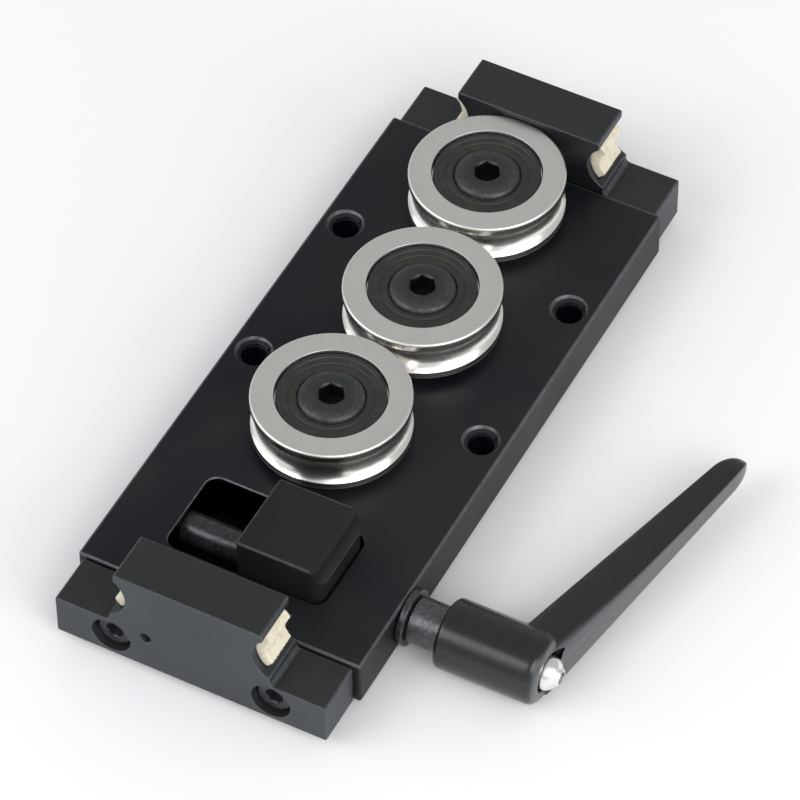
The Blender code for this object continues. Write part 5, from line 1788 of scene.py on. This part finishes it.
@dataclass(frozen=True)
class Lamp:
    """A soft box that faces the carriage."""

    name: str
    place: Place
    size: Point
    power: float
    colour: Colour

    def build(self, target: Place) -> None:
        """Hang the lamp so that it faces the target."""
        data = bpy.data.lights.new(self.name, "AREA")
        data.shape = "RECTANGLE"
        data.size, data.size_y = self.size
        data.energy = self.power
        data.color = self.colour
        lamp = bpy.data.objects.new(self.name, data)
        lamp.location = self.place
        lamp.rotation_euler = (Vector(target) - Vector(self.place)).to_track_quat("-Z", "Y").to_euler()
        bpy.context.scene.collection.objects.link(lamp)


LAMPS = (
    Lamp("soft_box_key", (0.72, -0.60, 0.85), (0.85, 0.62), 5.2, (1.0, 0.995, 0.985)),
    Lamp("soft_box_window", (-0.60, -0.80, 0.86), (0.80, 0.62), 4.6, (0.955, 0.95, 1.0)),
    Lamp("soft_box_left", (-1.06, -0.48, 0.42), (0.80, 0.62), 2.2, (0.97, 0.98, 1.0)),
    Lamp("soft_box_right", (1.17, -0.28, 0.42), (1.00, 0.62), 5.4, (0.96, 0.97, 1.0)),
)


@dataclass
class Studio:
    """A pale floor, soft light and the camera at the photograph's angle."""

    camera_place: Place = (0.24224, -0.44869, 0.59467)
    up: Place = (-0.33289, 0.64464, 0.68821)
    aim: Place = (0.0040, -0.0005, 0.0060)
    lens: float = 236.0
    floor_z: float = -1.75 * MM
    floor_size: float = 14.0
    floor_colour: Colour = (0.97, 0.97, 0.97)
    painted_under_shade: Colour = (0.012, 0.012, 0.013)
    sky_colour: Colour = (0.965, 0.98, 1.0)
    sky_level: float = 0.53
    sky_rise: float = 0.12
    lamp_target: Place = (0.01, 0.0, 0.0)

    def build_floor(self) -> None:
        """Lay the floor, with painted shade under the plate; it can be seen through from below and lets light up there.
        """
        shape = bmesh.new()
        bmesh.ops.create_grid(shape, x_segments=2, y_segments=2, size=self.floor_size / 2)
        bmesh.ops.translate(shape, verts=shape.verts[:], vec=(0.0, 0.0, self.floor_z))
        mesh = bpy.data.meshes.new("floor")
        shape.to_mesh(mesh)
        shape.free()
        material = bpy.data.materials.new("pale_floor")
        material.use_nodes = True
        board = Board(material.node_tree)
        here = board.place()
        across, along, _ = board.split(here)
        # painted shade: the floor under the plate is dark, so bores and the pocket look black
        under = abs(across).between(20 * MM, 16 * MM) * abs(along).between(54 * MM, 46 * MM)
        cloud = board.noise(here, 0.5)
        colour = board.blend(cloud * 0.3, self.floor_colour, times(0.97, self.floor_colour))
        matt = board.add("ShaderNodeBsdfDiffuse", {"Color": board.blend(under, colour, self.painted_under_shade)})
        back = board.add("ShaderNodeNewGeometry", output="Backfacing")
        seen = board.add("ShaderNodeLightPath", output="Is Camera Ray")
        lit = under * along.between(-22 * MM, -16 * MM) * (1.0 - seen)
        clear = board.add("ShaderNodeBsdfTransparent")
        both = board.add("ShaderNodeMixShader", {0: (back + lit).between(0.0, 1.0), 1: matt, 2: clear})
        board.node("ShaderNodeOutputMaterial", {"Surface": both})
        mesh.materials.append(material)
        loose_object(mesh)

    def build_world(self) -> None:
        """Give the world an even soft light that is a little stronger in front."""
        world = bpy.data.worlds.new("studio")
        bpy.context.scene.world = world
        world.use_nodes = True
        board = Board(world.node_tree)
        back = board.split(board.add("ShaderNodeTexCoord", output="Generated"))[1]
        level = self.sky_level + back.between(-0.2, -0.8) * self.sky_rise
        sky = board.add("ShaderNodeBackground", {"Color": (*self.sky_colour, 1.0), "Strength": level})
        board.node("ShaderNodeOutputWorld", {"Surface": sky})

    def build_camera(self) -> None:
        """Set the camera where the photograph was taken from, with a longer lens."""
        place = Vector(self.camera_place)
        ahead = (Vector(self.aim) - place).normalized()
        right = ahead.cross(Vector(self.up)).normalized()
        data = bpy.data.cameras.new("camera")
        data.lens = self.lens
        data.sensor_width = 36.0
        data.clip_start = 0.01
        data.clip_end = 60.0
        camera = bpy.data.objects.new("camera", data)
        columns = Matrix((right, right.cross(ahead), -ahead)).transposed()
        camera.matrix_world = Matrix.Translation(place) @ columns.to_4x4()
        bpy.context.scene.collection.objects.link(camera)
        bpy.context.scene.camera = camera

    def build(self) -> None:
        """Build the whole stage."""
        self.build_floor()
        self.build_world()
        for lamp in LAMPS:
            lamp.build(self.lamp_target)
        self.build_camera()
        bpy.context.scene.view_settings.view_transform = "Standard"


def main() -> None:
    """Build every sub-assembly over the frame, then the stage."""
    logging.basicConfig(level=logging.INFO, format="%(message)s")
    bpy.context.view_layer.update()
    Plate().build()
    for end in End:
        EndCap(end).build()
    for number in (1, 2, 3):
        Roller(number).build()
    BlockClamp().build()
    IndexingLever().build()
    Studio().build()


if __name__ == "__main__":
    main()
